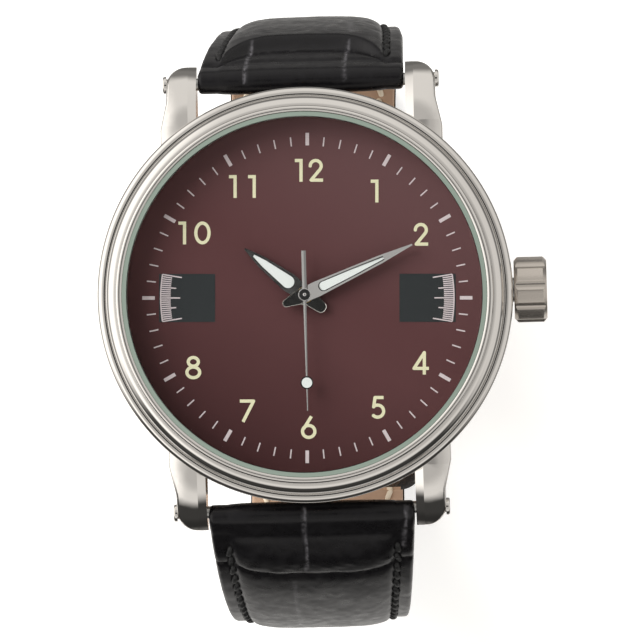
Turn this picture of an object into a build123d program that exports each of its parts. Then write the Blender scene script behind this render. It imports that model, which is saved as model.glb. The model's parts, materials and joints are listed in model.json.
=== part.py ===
from build123d import *

import os
from math import ceil, cos, radians, sin

# Pilot's wristwatch with a quartz movement, in millimetres. The dial faces +Z, 12 o'clock is
# +Y and the crown is +X. The origin is on the hands' axis, in the outer face of the case back.
# The strap is unfastened: its short half, with the buckle, hangs inside its long half.

# Shared clearances and cutters
overrun = 1.0
running_gap = 0.05
pivot_gap = 0.03

# Middle case and lugs
case_radius = 20.0
case_foot_radius = 18.8
case_taper_top = 2.2
case_bottom = 1.0
case_top = 6.4
bore_radius = 15.9
bezel_seat_radius = 18.3
bezel_seat = 5.9
dial_seat = 5.6
lug_gap = 20.2
lug_outer = 13.0
lug_root_outer = 13.6
lug_tip = 22.45
lug_root = 12.0
lug_waist = 18.9
lug_flare = 16.2
lug_top = 5.9
lug_shoulder = 16.6
lug_bend = 20.3
lug_bend_top = 4.45
lug_tip_top = 1.9
lug_foot = 0.6
lug_tip_round = 1.9
lug_waist_round = 2.6
lug_facet = 0.8
lug_facet_drop = 0.35
lug_camber = 0.7
lug_edge = 0.35
strap_recess = 18.6
strap_recess_top = 5.1
bar_place = 20.7
bar_height = 2.6

# Case back and its gasket
back_radius = 17.4
back_edge = 0.45
back_rim_top = 2.0
back_bowl_radius = 14.6
back_skin = 0.9
back_slots = 6
back_slot_width = 2.2
back_slot_depth = 0.5
back_slot_length = 1.3
back_gasket_width = 0.7
back_gasket_height = 0.5

# Bezel: three polished rings, each a step up towards the crystal
bezel_height = 2.8
bezel_step_1 = 19.15
bezel_step_2 = 18.1
bezel_ring_1 = 0.95
bezel_ring_2 = 2.0
bezel_groove = 0.28
bezel_bulge = 0.16
bezel_foot = 0.2
bezel_shoulder = 0.35

# Crystal, its gasket, and the ring below it
glass_well_radius = 17.5
crystal_radius = 17.1
crystal_underside = 8.2
crystal_thickness = 1.5
crystal_edge = 0.2
crystal_gasket_drop = 0.15
rehaut_radius = 16.95
rehaut_flare = 0.1

# Dial and movement holder
dial_thickness = 0.4
dial_hole = 1.0
dial_foot_radius = 0.45
dial_foot_place = 13.6
dial_foot_length = 1.6
dial_foot_angles = (35.0, 215.0)
movement_radius = 12.0

# Movement plates and fasteners
plate_low = 3.9
plate_high = 4.9
bridge_low = 1.9
bridge_high = 2.3
bridge_round = 0.6
pillar_radius = 0.7
pillar_shares = ((-0.3, 0.0333), (0.3583, 0.2167), (0.0167, -0.3333))
bridge_corner_shares = (
    (-0.367, 0.075), (-0.108, 0.492), (0.108, 0.492), (0.425, 0.283), (0.425, -0.083), (0.075, -0.408),
    (-0.058, -0.408),
)
screw_radius = 0.3
screw_head_radius = 0.55
screw_head = 0.3
screw_depth = 4.4
screw_slot_width = 0.14
screw_slot_depth = 0.12

# Battery and its clamp
battery_radius = 3.95
battery_x = -6.39
battery_y = -4.47
battery_low = 1.9
battery_high = 4.0
battery_cap_radius = 3.1
battery_cap_height = 0.3
battery_gap = 0.1
clamp_thickness = 0.2
clamp_width = 1.7

# Circuit board, chip and quartz can
board_thickness = 0.2
board_corner_shares = (
    (-0.867, 0.05), (-0.4, 0.158), (-0.417, 0.3), (-0.5, 0.617), (-0.683, 0.667), (-0.908, 0.3)
)
chip_width = 1.7
chip_height = 0.5
chip_x = -5.9
chip_y = 3.3
can_radius = 0.6
can_length = 4.6
can_x = -8.6
can_y = 4.2

# Coil, its core and the stator
coil_radius = 0.75
coil_length = 7.4
coil_y = 8.6
coil_pocket_gap = 0.15
core_width = 0.9
core_thickness = 0.3
core_length = 10.4
stator_thickness = 0.3
stator_hole = 0.95
stator_neck = 1.5
stator_neck_y = 3.4
stator_shoulder_y = 7.0
stator_end_y = 9.3
coil_window = 0.5

# Gears: teeth, modules and the places of their axes
seconds_pinion_teeth = 8
third_wheel_teeth = 60
third_pinion_teeth = 8
centre_wheel_teeth = 64
cannon_teeth = 12
minute_wheel_teeth = 36
minute_pinion_teeth = 10
hour_wheel_teeth = 40
seconds_wheel_teeth = 40
fifth_pinion_teeth = 8
fifth_wheel_teeth = 48
rotor_pinion_teeth = 8
third_distance = 2.4
motion_distance = 2.4
fifth_distance = 2.6
rotor_distance = 2.1
third_angle = -20.0
motion_angle = -75.0
fifth_angle = 90.0
tooth_tip_share = 0.72
tooth_root_share = 1.1
tooth_root_half_share = 0.29
tooth_tip_half_share = 0.11

# Arbors and pipes, from the inside out
arbor_radius = 0.12
seconds_arbor_radius = 0.15
cannon_bore = 0.2
cannon_radius = 0.45
hour_pipe_bore = 0.5
hour_pipe_radius = 0.8
pivot_length = 0.2
motion_post_radius = 0.2
rotor_radius = 0.7
magnet_height = 0.4

# Heights in the train: clearances and the thickness of each wheel, from the main plate down
plate_gap = 0.22
magnet_gap = 0.05
centre_wheel_thickness = 0.18
third_wheel_drop = 0.4
third_wheel_thickness = 0.15
seconds_wheel_drop = 0.11
seconds_wheel_thickness = 0.15
fifth_wheel_drop = 0.06
fifth_wheel_thickness = 0.1
pinion_overhang = 0.06

# Heights in the motion work, from the main plate up
cannon_gap = 0.1
cannon_height = 0.2
minute_wheel_thickness = 0.14
hour_wheel_gap = 0.05
hour_wheel_thickness = 0.15
motion_post_gap = 0.1

# Hands: base heights, outlines from the axis, and the angles clockwise from 12
hour_hand_base = 6.5
minute_hand_base = 7.02
seconds_hand_base = 7.5
hour_edge = 0.25
minute_edge = 0.12
hand_ridge = 0.3
hand_bevel = 0.06
hour_hand_angle = 308.9
minute_hand_angle = 66.5
seconds_hand_angle = 180.0
hour_hub = 1.0
hour_length = 7.3
hour_width = 1.8
hour_shoulder = 2.0
hour_belly = 5.2
hour_belly_width = 1.12
hour_tip_width = 0.16
hour_tail = 2.45
hour_tail_width = 1.0
hour_tail_root_width = 1.35
hour_tail_round = 0.5
hour_lume_start = 1.4
hour_lume_end = 6.25
hour_lume_width = 1.3
hour_lume_belly = 5.0
hour_lume_belly_width = 0.76
minute_hub = 0.74
minute_length = 11.4
minute_width = 1.5
minute_shoulder = 1.3
minute_belly = 8.0
minute_belly_width = 0.82
minute_tip_width = 0.14
minute_tail = 2.32
minute_tail_width = 0.6
minute_tail_root_width = 1.35
minute_tail_round = 0.34
minute_lume_start = 1.52
minute_lume_end = 8.35
minute_lume_width = 0.92
minute_lume_belly = 5.0
minute_lume_belly_width = 0.7
lume_tip = 0.15
hour_lume_height = 0.26
minute_lume_height = 0.2
seconds_hub = 0.61
seconds_edge = 0.12
seconds_thickness = 0.16
seconds_length = 11.15
seconds_root_width = 0.3
seconds_tip_width = 0.1
seconds_tail = 4.23
seconds_tail_width = 0.43
seconds_dot_place = 8.46
seconds_dot_radius = 0.5
seconds_dot_ring = 0.62
seconds_cap = 0.12

# Crown, tube and stem
stem_height = 3.7
stem_radius = 0.6
tube_radius = 1.2
tube_end = 21.9
crown_start = 20.1
crown_end = 23.25
crown_radius = 3.175
crown_edge = 0.35
crown_bore_radius = 1.75
crown_bore_depth = 2.0
crown_post_depth = 2.5
crown_flutes = 9
crown_flute_turn = 83.2
flute_radius = 0.75
flute_sink = 0.2
crown_gasket_start = 20.7
crown_gasket_end = 21.5
stem_tip = 5.4
stem_tip_end = 6.0
stem_tip_radius = 0.25
stem_square_end = 8.6
stem_square = 0.75
groove_start = 9.2
groove_end = 9.9
groove_radius = 0.3
stem_boss_start = 4.9
stem_boss_end = 5.9
stem_boss_half = 0.8
channel_half = 0.95
clutch_start = 6.6
clutch_end = 7.8
clutch_teeth = 12
clutch_module = 0.13

# Setting lever
lever_low = 2.7
lever_high = 2.9
lever_width = 0.9
lever_nib_radius = 0.22
lever_nib_y = 0.62
lever_nib_top = 3.85
lever_pivot_y = 3.9
lever_pin_radius = 0.3
lever_pin_low = 2.55
lever_hub_radius = 0.7

# Lug bars and their screws
bar_radius = 0.6
bar_half_length = 11.6
lug_screw_head_radius = 0.85
lug_screw_head = 0.36
lug_screw_slot_width = 0.24
lug_screw_slot_depth = 0.16

# Strap: thickness, widths and the side view of each half, from the bar to the end
lining_thickness = 1.0
leather_thickness = 1.15
strap_margin = 1.9
lining_inset = 0.15
strap_bar_width = 19.9
strap_apex_width = 17.2
strap_buckle_width = 16.0
strap_tip_width = 6.0
strap_tip_length = 8.0
tip_steps = 5
pad_rise = 2.0
pad_start = 0.15
pad_full_place = 6.0
pad_height_12 = 1.2
pad_height_6 = 0.85
pad_end = 0.15
short_drop = 67.2
short_arc_1 = 61.4
short_arc_2 = 18.0
short_run = 16.0
long_drop = 44.8
long_arc_1 = 33.5
long_arc_2 = 45.0
long_arc_2_turn = 32.0
long_arc_3 = 18.0
long_run = 26.0
long_arc_4 = 30.0
long_arc_4_turn = 20.0
short_pad_fade = 50.0
long_pad_fade = 66.0
holes = 7
hole_radius = 0.85
hole_pitch = 6.5
hole_from_tip = 21.0
facet_turn = 9.0

# Buckle, its bar and the keepers
buckle_bar_radius = 0.65
buckle_bar_half = 9.6
buckle_inside = 16.7
buckle_rail = 1.7
buckle_length = 8.9
buckle_front = 1.9
buckle_thickness = 1.9
buckle_ear = 1.25
buckle_round = 2.2
buckle_edge = 0.3
tongue_width = 2.3
tongue_ring = 1.2
tongue_thickness = 0.85
tongue_gap = 0.08
tongue_reach = 0.5
tongue_slot_gap = 0.3
tongue_slot_length = 2.6
keeper_width = 3.6
keeper_wall = 1.0
keeper_room = 2.3
keeper_side_gap = 0.25
keeper_round = 0.35
fixed_keeper_place = 5.2
sliding_keeper_place = 10.4
sliding_keeper_gap = 0.12

# Worked out from the sizes above
dial_top = dial_seat + dial_thickness
crystal_top = crystal_underside + crystal_thickness
bezel_top = case_top + bezel_height
lug_inner = lug_gap / 2
stator_low = plate_low - stator_thickness
core_low = stator_low - core_thickness
coil_height = core_low + core_thickness / 2
board_low = plate_low - board_thickness
clamp_low = battery_low - clamp_thickness
tongue_half = tongue_width / 2
third_x = third_distance * cos(radians(third_angle))
third_y = third_distance * sin(radians(third_angle))
motion_x = motion_distance * cos(radians(motion_angle))
motion_y = motion_distance * sin(radians(motion_angle))
fifth_x = fifth_distance * cos(radians(fifth_angle))
fifth_y = fifth_distance * sin(radians(fifth_angle))
rotor_x = fifth_x + rotor_distance * cos(radians(fifth_angle))
rotor_y = fifth_y + rotor_distance * sin(radians(fifth_angle))
lever_x = (groove_start + groove_end) / 2
pivot_low = bridge_low + pivot_length
pivot_high = plate_low + pivot_length
pillars = [(x_share * movement_radius, y_share * movement_radius) for x_share, y_share in pillar_shares]


def span_below(top, thickness):
    """Low and high face of a piece under a height."""
    return top - thickness, top


def span_over(span, overhang):
    """A span that stands out of another at both faces."""
    return span[0] - overhang, span[1] + overhang


centre_wheel_span = span_below(plate_low - plate_gap, centre_wheel_thickness)
third_pinion_span = span_over(centre_wheel_span, pinion_overhang)
rotor_magnet_span = span_below(plate_low - magnet_gap, magnet_height)
third_wheel_span = span_below(centre_wheel_span[0] - third_wheel_drop, third_wheel_thickness)
seconds_pinion_span = span_over(third_wheel_span, pinion_overhang)
seconds_wheel_span = span_below(seconds_pinion_span[0] - seconds_wheel_drop, seconds_wheel_thickness)
fifth_pinion_span = span_over(seconds_wheel_span, pinion_overhang)
fifth_wheel_span = span_below(fifth_pinion_span[0] - fifth_wheel_drop, fifth_wheel_thickness)
rotor_pinion_span = span_over(fifth_wheel_span, pinion_overhang)
cannon_low = plate_high + cannon_gap
cannon_span = (cannon_low, cannon_low + cannon_height)
minute_wheel_span = (cannon_low, cannon_low + minute_wheel_thickness)
hour_wheel_low = cannon_span[1] + hour_wheel_gap
hour_wheel_span = (hour_wheel_low, hour_wheel_low + hour_wheel_thickness)
minute_pinion_top = hour_wheel_span[1] + hour_wheel_gap
motion_post_top = dial_seat - motion_post_gap

ON_BASE = (Align.CENTER, Align.CENTER, Align.MIN)


def disc(radius, low, high, x=0, y=0):
    """Upright cylinder between two heights."""
    return Pos(x, y, low) * Cylinder(radius, high - low, align=ON_BASE)


def ring(outer, inner, low, high, x=0, y=0):
    """Upright tube between two heights."""
    return disc(outer, low, high, x, y) - disc(inner, low - overrun, high + overrun, x, y)


def rod(radius, start, end, y, z):
    """Cylinder along X between two places."""
    return Pos(start, y, z) * Rot(0, 90, 0) * Cylinder(radius, end - start, align=ON_BASE)


def block(xs, ys, zs):
    """Box between two places on each axis."""
    sizes = [high - low for low, high in (xs, ys, zs)]
    return Pos(xs[0], ys[0], zs[0]) * Box(*sizes, align=(Align.MIN, Align.MIN, Align.MIN))


def plate(outline, low, high):
    """Flat piece of a given outline between two heights."""
    return Pos(0, 0, low) * extrude(outline, high - low)


def face_of(points):
    """Face inside a closed line through points."""
    return make_face(Polyline(*points, close=True))


def movement_outline(corner_shares):
    """Face whose corners are shares of the movement's radius."""
    return face_of([
        (x_share * movement_radius, y_share * movement_radius) for x_share, y_share in corner_shares
    ])


def around(piece, count, first=0.0):
    """Copies of a piece, evenly turned about the Z axis."""
    return [Rot(0, 0, first + 360 * turn / count) * piece for turn in range(count)]


def quarters(piece):
    """A piece and its three mirror images in X and Y."""
    pair = [piece, mirror(piece, about=Plane.YZ)]
    return pair + [mirror(each, about=Plane.XZ) for each in pair]


# Case


def lug_side(x, drop):
    """Side view of a lug at a distance from the watch's middle, with its top lowered by a drop."""
    top = ThreePointArc(
        (lug_shoulder, lug_top - drop), (lug_bend, lug_bend_top - drop), (lug_tip, lug_tip_top - drop)
    )
    rest = Polyline(
        (lug_tip, lug_tip_top - drop),
        (lug_tip, lug_foot - overrun),
        (lug_root, lug_foot - overrun),
        (lug_root, lug_top - drop),
        (lug_shoulder, lug_top - drop),
    )
    return Plane.YZ.offset(x) * make_face(top + rest)


def on_lug_rim(edge):
    """Whether an edge is between a lug's cambered top and its outer side."""
    start, middle, end = edge @ 0, edge @ 0.5, edge @ 1
    along = abs(start.Y - end.Y) > lug_edge / 2
    return along and middle.X > lug_inner + lug_facet + lug_edge and middle.Z > lug_foot + lug_edge


def lug():
    """The lug beside the crown and 12 o'clock: a facet along its inner upper edge, a top that slopes
    away from it, and a rounded outer edge."""
    plan = face_of([
        (lug_inner, lug_root),
        (lug_inner, lug_tip),
        (lug_outer, lug_tip),
        (lug_outer, lug_waist),
        (lug_root_outer, lug_flare),
        (lug_root_outer, lug_root),
    ])
    plan = fillet(plan.vertices().sort_by_distance((lug_outer, lug_tip))[0], lug_tip_round)
    plan = fillet(plan.vertices().sort_by_distance((lug_outer, lug_waist))[0], lug_waist_round)
    crest = lug_side(lug_inner + lug_facet, 0).face()
    middle = lug_side((lug_inner + lug_facet + lug_root_outer) / 2, lug_camber / 4).face()
    outside = lug_side(lug_root_outer, lug_camber).face()
    bar = loft([lug_side(lug_inner, lug_facet_drop).face(), crest], ruled=True)
    bar += loft([crest, middle, outside])
    bar &= plate(plan, lug_foot, lug_top + overrun)
    return fillet([edge for edge in bar.edges() if on_lug_rim(edge)], lug_edge)


def mid_case():
    """Middle case with its four lugs, bores and the hole for the crown's tube."""
    shell = disc(case_radius, case_taper_top, case_top)
    shell += Pos(0, 0, case_bottom) * Cone(
        case_foot_radius, case_radius, case_taper_top - case_bottom, align=ON_BASE
    )
    for piece in quarters(lug()):
        shell += piece
    shell -= disc(bore_radius, -overrun, case_top + overrun)
    shell -= disc(back_radius, -overrun, case_bottom)
    gasket_seat = bore_radius + back_gasket_width
    shell -= disc(gasket_seat, case_bottom - overrun, case_bottom + back_gasket_height)
    shell -= disc(glass_well_radius, dial_seat, case_top + overrun)
    shell -= disc(bezel_seat_radius, bezel_seat, case_top + overrun)
    recess = block((-lug_inner, lug_inner), (strap_recess, case_radius + overrun), (0, strap_recess_top))
    shell -= recess
    shell -= mirror(recess, about=Plane.XZ)
    shell -= rod(tube_radius, bore_radius - overrun, case_radius + overrun, 0, stem_height)
    for side in (bar_place, -bar_place):
        shell -= rod(bar_radius, -lug_outer - overrun, lug_outer + overrun, side, bar_height)
    return shell


def case_back():
    """Screwed case back with slots for its key."""
    shell = disc(back_radius, 0, case_bottom) + disc(bore_radius, 0, back_rim_top)
    shell -= disc(back_bowl_radius, back_skin, back_rim_top + overrun)
    rim = shell.edges().filter_by(GeomType.CIRCLE).group_by(Axis.Z)[0]
    shell = chamfer(rim, back_edge)
    slot = block(
        (back_radius - back_slot_length, back_radius + overrun),
        (-back_slot_width / 2, back_slot_width / 2),
        (-overrun, back_slot_depth),
    )
    for cut in around(slot, back_slots, 180 / back_slots):
        shell -= cut
    return shell


def bezel():
    """Ring that holds the crystal, with three rounded steps."""
    ring_1_top = case_top + bezel_ring_1
    ring_2_top = case_top + bezel_ring_2
    outer = ThreePointArc(
        (bezel_step_1, ring_1_top - bezel_groove),
        (bezel_step_1 + bezel_shoulder, ring_1_top - bezel_groove),
        (case_radius, case_top + bezel_foot),
    )
    middle = ThreePointArc(
        (bezel_step_2, ring_2_top),
        ((bezel_step_2 + bezel_step_1) / 2, (ring_2_top + ring_1_top) / 2 + 2 * bezel_bulge),
        (bezel_step_1, ring_1_top),
    )
    inner = ThreePointArc(
        (glass_well_radius, bezel_top - bezel_bulge),
        ((glass_well_radius + bezel_step_2) / 2, bezel_top),
        (bezel_step_2, ring_2_top + bezel_groove),
    )
    lines = Line((case_radius, case_top + bezel_foot), (case_radius, case_top))
    lines += Polyline(
        (case_radius, case_top),
        (bezel_seat_radius, case_top),
        (bezel_seat_radius, bezel_seat),
        (glass_well_radius, bezel_seat),
        (glass_well_radius, bezel_top - bezel_bulge),
    )
    lines += inner + Line((bezel_step_2, ring_2_top + bezel_groove), (bezel_step_2, ring_2_top))
    lines += middle + Line((bezel_step_1, ring_1_top), (bezel_step_1, ring_1_top - bezel_groove)) + outer
    return revolve(Plane.XZ * make_face(lines), Axis.Z)


def crystal():
    """Flat crystal with a bevelled upper edge."""
    glass = disc(crystal_radius, crystal_underside, crystal_top)
    rim = glass.edges().filter_by(GeomType.CIRCLE).group_by(Axis.Z)[-1]
    return chamfer(rim, crystal_edge)


def rehaut_ring():
    """Sloped ring between the dial and the crystal."""
    funnel = Pos(0, 0, dial_top) * Cone(
        rehaut_radius, rehaut_radius + rehaut_flare, crystal_underside - dial_top, align=ON_BASE
    )
    return disc(glass_well_radius, dial_top, crystal_underside) - funnel


def dial():
    """Dial disc with two feet that plug into the movement holder."""
    face = ring(glass_well_radius, dial_hole, dial_seat, dial_top)
    for foot in dial_feet(dial_foot_radius):
        face += foot
    return face


def dial_feet(radius):
    """Upright pins under the dial."""
    places = [(radians(angle), dial_foot_place) for angle in dial_foot_angles]
    low = dial_seat - dial_foot_length
    return [disc(radius, low, dial_seat, at * cos(turn), at * sin(turn)) for turn, at in places]


def movement_holder():
    """Ring that centres the movement in the case."""
    holder = ring(bore_radius, movement_radius, back_rim_top, dial_seat)
    for foot in dial_feet(dial_foot_radius + running_gap):
        holder -= foot
    holder -= rod(channel_half, movement_radius - overrun, case_radius, 0, stem_height)
    return holder


# Movement


def gear(teeth, module, phase=0.0):
    """Face of a spur gear with straight-sided teeth; one tooth points at phase, in degrees."""
    pitch_radius = teeth * module / 2
    tip = pitch_radius + tooth_tip_share * module
    root = pitch_radius - tooth_root_share * module
    corner_shares = (
        (root, -tooth_root_half_share),
        (tip, -tooth_tip_half_share),
        (tip, tooth_tip_half_share),
        (root, tooth_root_half_share),
    )
    points = []
    for tooth in range(teeth):
        for radius, half_share in corner_shares:
            turn = radians(phase + 360 * (tooth + half_share) / teeth)
            points.append((radius * cos(turn), radius * sin(turn)))
    return face_of(points)


def wheel(teeth, module, span, phase=0.0, x=0, y=0):
    """Gear between two heights, about an upright axis."""
    return Pos(x, y, 0) * plate(gear(teeth, module, phase), *span)


def facing(direction, teeth):
    """Phase of a gear whose gap faces back towards the gear it meets, in the given direction."""
    return direction + 180 + 180 / teeth


third_module = 2 * third_distance / (seconds_pinion_teeth + third_wheel_teeth)
centre_module = 2 * third_distance / (third_pinion_teeth + centre_wheel_teeth)
cannon_module = 2 * motion_distance / (cannon_teeth + minute_wheel_teeth)
hour_module = 2 * motion_distance / (minute_pinion_teeth + hour_wheel_teeth)
seconds_module = 2 * fifth_distance / (seconds_wheel_teeth + fifth_pinion_teeth)
rotor_module = 2 * rotor_distance / (fifth_wheel_teeth + rotor_pinion_teeth)


def seconds_wheel():
    """Seconds arbor, which carries the hand, with its wheel and pinion."""
    arbor = disc(seconds_arbor_radius, pivot_low, seconds_hand_base + seconds_thickness + seconds_cap)
    arbor += wheel(seconds_wheel_teeth, seconds_module, seconds_wheel_span, fifth_angle)
    return arbor + wheel(seconds_pinion_teeth, third_module, seconds_pinion_span, third_angle)


def third_wheel():
    """Third wheel, driven by the seconds pinion, with the pinion that drives the centre wheel."""
    arbor = disc(arbor_radius, pivot_low, pivot_high)
    arbor += wheel(third_wheel_teeth, third_module, third_wheel_span, facing(third_angle, third_wheel_teeth))
    phase = facing(third_angle, third_pinion_teeth)
    arbor += wheel(third_pinion_teeth, centre_module, third_pinion_span, phase)
    return Pos(third_x, third_y, 0) * arbor


def centre_wheel():
    """Centre wheel on the cannon tube that carries the minute hand."""
    tube = disc(cannon_radius, centre_wheel_span[0], minute_hand_base + hand_ridge)
    tube += wheel(centre_wheel_teeth, centre_module, centre_wheel_span, third_angle)
    tube += wheel(cannon_teeth, cannon_module, cannon_span, motion_angle)
    return tube - disc(cannon_bore, 0, crystal_top)


def minute_wheel():
    """Motion work's wheel and pinion, on its post."""
    gears = wheel(
        minute_wheel_teeth, cannon_module, minute_wheel_span, facing(motion_angle, minute_wheel_teeth)
    )
    span = (minute_wheel_span[1], minute_pinion_top)
    gears += wheel(minute_pinion_teeth, hour_module, span, facing(motion_angle, minute_pinion_teeth))
    return Pos(motion_x, motion_y, 0) * (gears - disc(motion_post_radius + pivot_gap, 0, crystal_top))


def hour_wheel():
    """Hour wheel and the pipe that carries the hour hand."""
    pipe = disc(hour_pipe_radius, hour_wheel_span[0], hour_hand_base + hand_ridge)
    pipe += wheel(hour_wheel_teeth, hour_module, hour_wheel_span, motion_angle)
    return pipe - disc(hour_pipe_bore, 0, crystal_top)


def fifth_wheel():
    """Wheel and pinion between the rotor and the seconds wheel."""
    arbor = disc(arbor_radius, pivot_low, pivot_high)
    phase = facing(fifth_angle, fifth_pinion_teeth)
    arbor += wheel(fifth_pinion_teeth, seconds_module, fifth_pinion_span, phase)
    arbor += wheel(fifth_wheel_teeth, rotor_module, fifth_wheel_span, fifth_angle)
    return Pos(fifth_x, fifth_y, 0) * arbor


def rotor():
    """Magnet and pinion of the stepping motor."""
    arbor = disc(arbor_radius, pivot_low, pivot_high) + disc(rotor_radius, *rotor_magnet_span)
    phase = facing(fifth_angle, rotor_pinion_teeth)
    arbor += wheel(rotor_pinion_teeth, rotor_module, rotor_pinion_span, phase)
    return Pos(rotor_x, rotor_y, 0) * arbor


def pivot_holes(low, high):
    """Cutters for the arbors' pivots."""
    places = ((third_x, third_y), (fifth_x, fifth_y), (rotor_x, rotor_y))
    return [disc(arbor_radius + pivot_gap, low, high, x, y) for x, y in places]


def main_plate():
    """Plate that carries the train, the battery, the coil and the stem."""
    base = disc(movement_radius, plate_low, plate_high)
    base += block(
        (stem_boss_start, stem_boss_end),
        (-stem_boss_half, stem_boss_half),
        (stem_height - stem_boss_half, plate_low),
    )
    base -= rod(stem_tip_radius + running_gap, stem_tip - running_gap, movement_radius, 0, stem_height)
    channel_top = stem_height + channel_half
    base -= block((stem_boss_end, movement_radius), (-channel_half, channel_half), (plate_low, channel_top))
    base -= disc(cannon_radius + running_gap, 0, crystal_top)
    for hole in pivot_holes(pivot_low, pivot_high + pivot_gap):
        base -= hole
    base -= disc(battery_radius + battery_gap, 0, battery_high, battery_x, battery_y)
    pocket = coil_radius + coil_pocket_gap
    base -= block(
        (-coil_length / 2 - coil_pocket_gap, coil_length / 2 + coil_pocket_gap),
        (coil_y - pocket, coil_y + pocket),
        (plate_low - overrun, coil_height + pocket),
    )
    for x, y in pillars:
        base -= disc(screw_radius, 0, screw_depth, x, y)
    base += disc(motion_post_radius, plate_high - running_gap, motion_post_top, motion_x, motion_y)
    return base + disc(lever_pin_radius, lever_pin_low, plate_low + running_gap, lever_x, lever_pivot_y)


def train_bridge():
    """Bridge over the train, on three pillars."""
    outline = movement_outline(bridge_corner_shares)
    bridge = plate(fillet(outline.vertices(), bridge_round), bridge_low, bridge_high)
    for x, y in pillars:
        bridge += disc(pillar_radius, bridge_low, plate_low, x, y)
        bridge -= disc(screw_radius, 0, plate_high, x, y)
    for hole in pivot_holes(pivot_low - pivot_gap, bridge_high + overrun):
        bridge -= hole
    return bridge - disc(seconds_arbor_radius + pivot_gap, pivot_low - pivot_gap, bridge_high + overrun)


def bridge_screws():
    """Screws through the bridge's pillars; the first also holds the battery clamp."""
    screws = []
    for number, (x, y) in enumerate(pillars):
        seat = clamp_low if number == 0 else bridge_low
        screw = disc(screw_head_radius, seat - screw_head, seat, x, y)
        screw += disc(screw_radius, seat - screw_head, screw_depth, x, y)
        screw -= block(
            (x - screw_head_radius, x + screw_head_radius),
            (y - screw_slot_width / 2, y + screw_slot_width / 2),
            (0, seat - screw_head + screw_slot_depth),
        )
        screws.append(screw)
    return Compound(children=screws)


def battery():
    """Button cell: a can with a narrower cap."""
    cell = disc(battery_radius, battery_low + battery_cap_height, battery_high, battery_x, battery_y)
    return cell + disc(battery_cap_radius, battery_low, battery_high, battery_x, battery_y)


def battery_clamp():
    """Contact strip across the battery, held by a bridge screw."""
    x, y = pillars[0]
    run = Line((battery_x, battery_y), (x, y))
    strip = plate(SlotCenterToCenter(run.length, clamp_width), clamp_low, battery_low)
    middle = run @ 0.5
    turn = Vector(1, 0).get_signed_angle(run % 0)
    return Pos(middle.X, middle.Y, 0) * Rot(0, 0, turn) * strip - disc(screw_radius, 0, plate_high, x, y)


def circuit_board():
    """Board on the main plate's back."""
    return plate(movement_outline(board_corner_shares), board_low, plate_low)


def chip():
    """Moulded chip on the board."""
    half = chip_width / 2
    xs, ys = (chip_x - half, chip_x + half), (chip_y - half, chip_y + half)
    return block(xs, ys, (board_low - chip_height, board_low))


def quartz_can():
    """Crystal can, lying on the board."""
    can = Rot(90, 0, 0) * Cylinder(can_radius, can_length)
    return Pos(can_x, can_y, board_low - can_radius) * can


def coil_core():
    """Flat core through the coil, on the stator's ends."""
    half_length, half_width = core_length / 2, core_width / 2
    return block(
        (-half_length, half_length), (coil_y - half_width, coil_y + half_width), (core_low, stator_low)
    )


def coil():
    """Winding round the core."""
    winding = rod(coil_radius, -coil_length / 2, coil_length / 2, coil_y, coil_height)
    return winding - coil_core()


def stator():
    """Stator plate round the rotor, out to the coil's ends."""
    half = core_length / 2
    outline = face_of([
        (-stator_neck, stator_neck_y),
        (stator_neck, stator_neck_y),
        (half, stator_shoulder_y),
        (half, stator_end_y),
        (-half, stator_end_y),
        (-half, stator_shoulder_y),
    ])
    sheet = plate(outline, stator_low, plate_low)
    window = coil_length / 2 + coil_pocket_gap
    sheet -= block(
        (-window, window), (coil_y - coil_radius - coil_window, stator_end_y + overrun), (0, crystal_top)
    )
    return sheet - disc(stator_hole, 0, crystal_top, rotor_x, rotor_y)


# Crown and setting work


def crown():
    """Fluted crown with its bore over the tube."""
    knob = rod(crown_radius, crown_start, crown_end, 0, stem_height)
    knob = chamfer(knob.edges().filter_by(GeomType.CIRCLE), crown_edge)
    flute = rod(flute_radius, crown_start - overrun, crown_end + overrun, 0, stem_height)
    flute_place = crown_radius + flute_radius - flute_sink
    for number in range(crown_flutes):
        turn = radians(crown_flute_turn + 360 * number / crown_flutes)
        knob -= Pos(0, flute_place * cos(turn), flute_place * sin(turn)) * flute
    knob -= rod(crown_bore_radius, crown_start - overrun, crown_start + crown_bore_depth, 0, stem_height)
    return knob - rod(stem_radius, crown_start, crown_start + crown_post_depth, 0, stem_height)


def crown_gasket():
    """Gasket between the crown and its tube."""
    seal = rod(crown_bore_radius, crown_gasket_start, crown_gasket_end, 0, stem_height)
    return seal - rod(tube_radius + pivot_gap, crown_start, crown_end, 0, stem_height)


def crown_tube():
    """Tube pressed into the case."""
    tube = rod(tube_radius, bore_radius, tube_end, 0, stem_height)
    return tube - rod(stem_radius + running_gap, 0, crown_end, 0, stem_height)


def square_bar(side, start, end):
    """Square bar along the stem's axis."""
    half = side / 2
    return block((start, end), (-half, half), (stem_height - half, stem_height + half))


def stem():
    """Stem with its pilot, square and groove."""
    shaft = rod(stem_tip_radius, stem_tip, stem_square_end, 0, stem_height)
    shaft += square_bar(stem_square, stem_tip_end, stem_square_end)
    shaft += rod(stem_radius, stem_square_end, groove_start, 0, stem_height)
    shaft += rod(groove_radius, stem_square_end, groove_end + overrun, 0, stem_height)
    return shaft + rod(stem_radius, groove_end, crown_start + crown_post_depth, 0, stem_height)


def clutch_pinion():
    """Pinion that slides on the stem's square and turns with it."""
    teeth = extrude(gear(clutch_teeth, clutch_module), clutch_end - clutch_start)
    pinion = Pos(clutch_start, 0, stem_height) * Rot(0, 90, 0) * teeth
    return pinion - square_bar(stem_square + 2 * pivot_gap, clutch_start - overrun, clutch_end + overrun)


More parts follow.
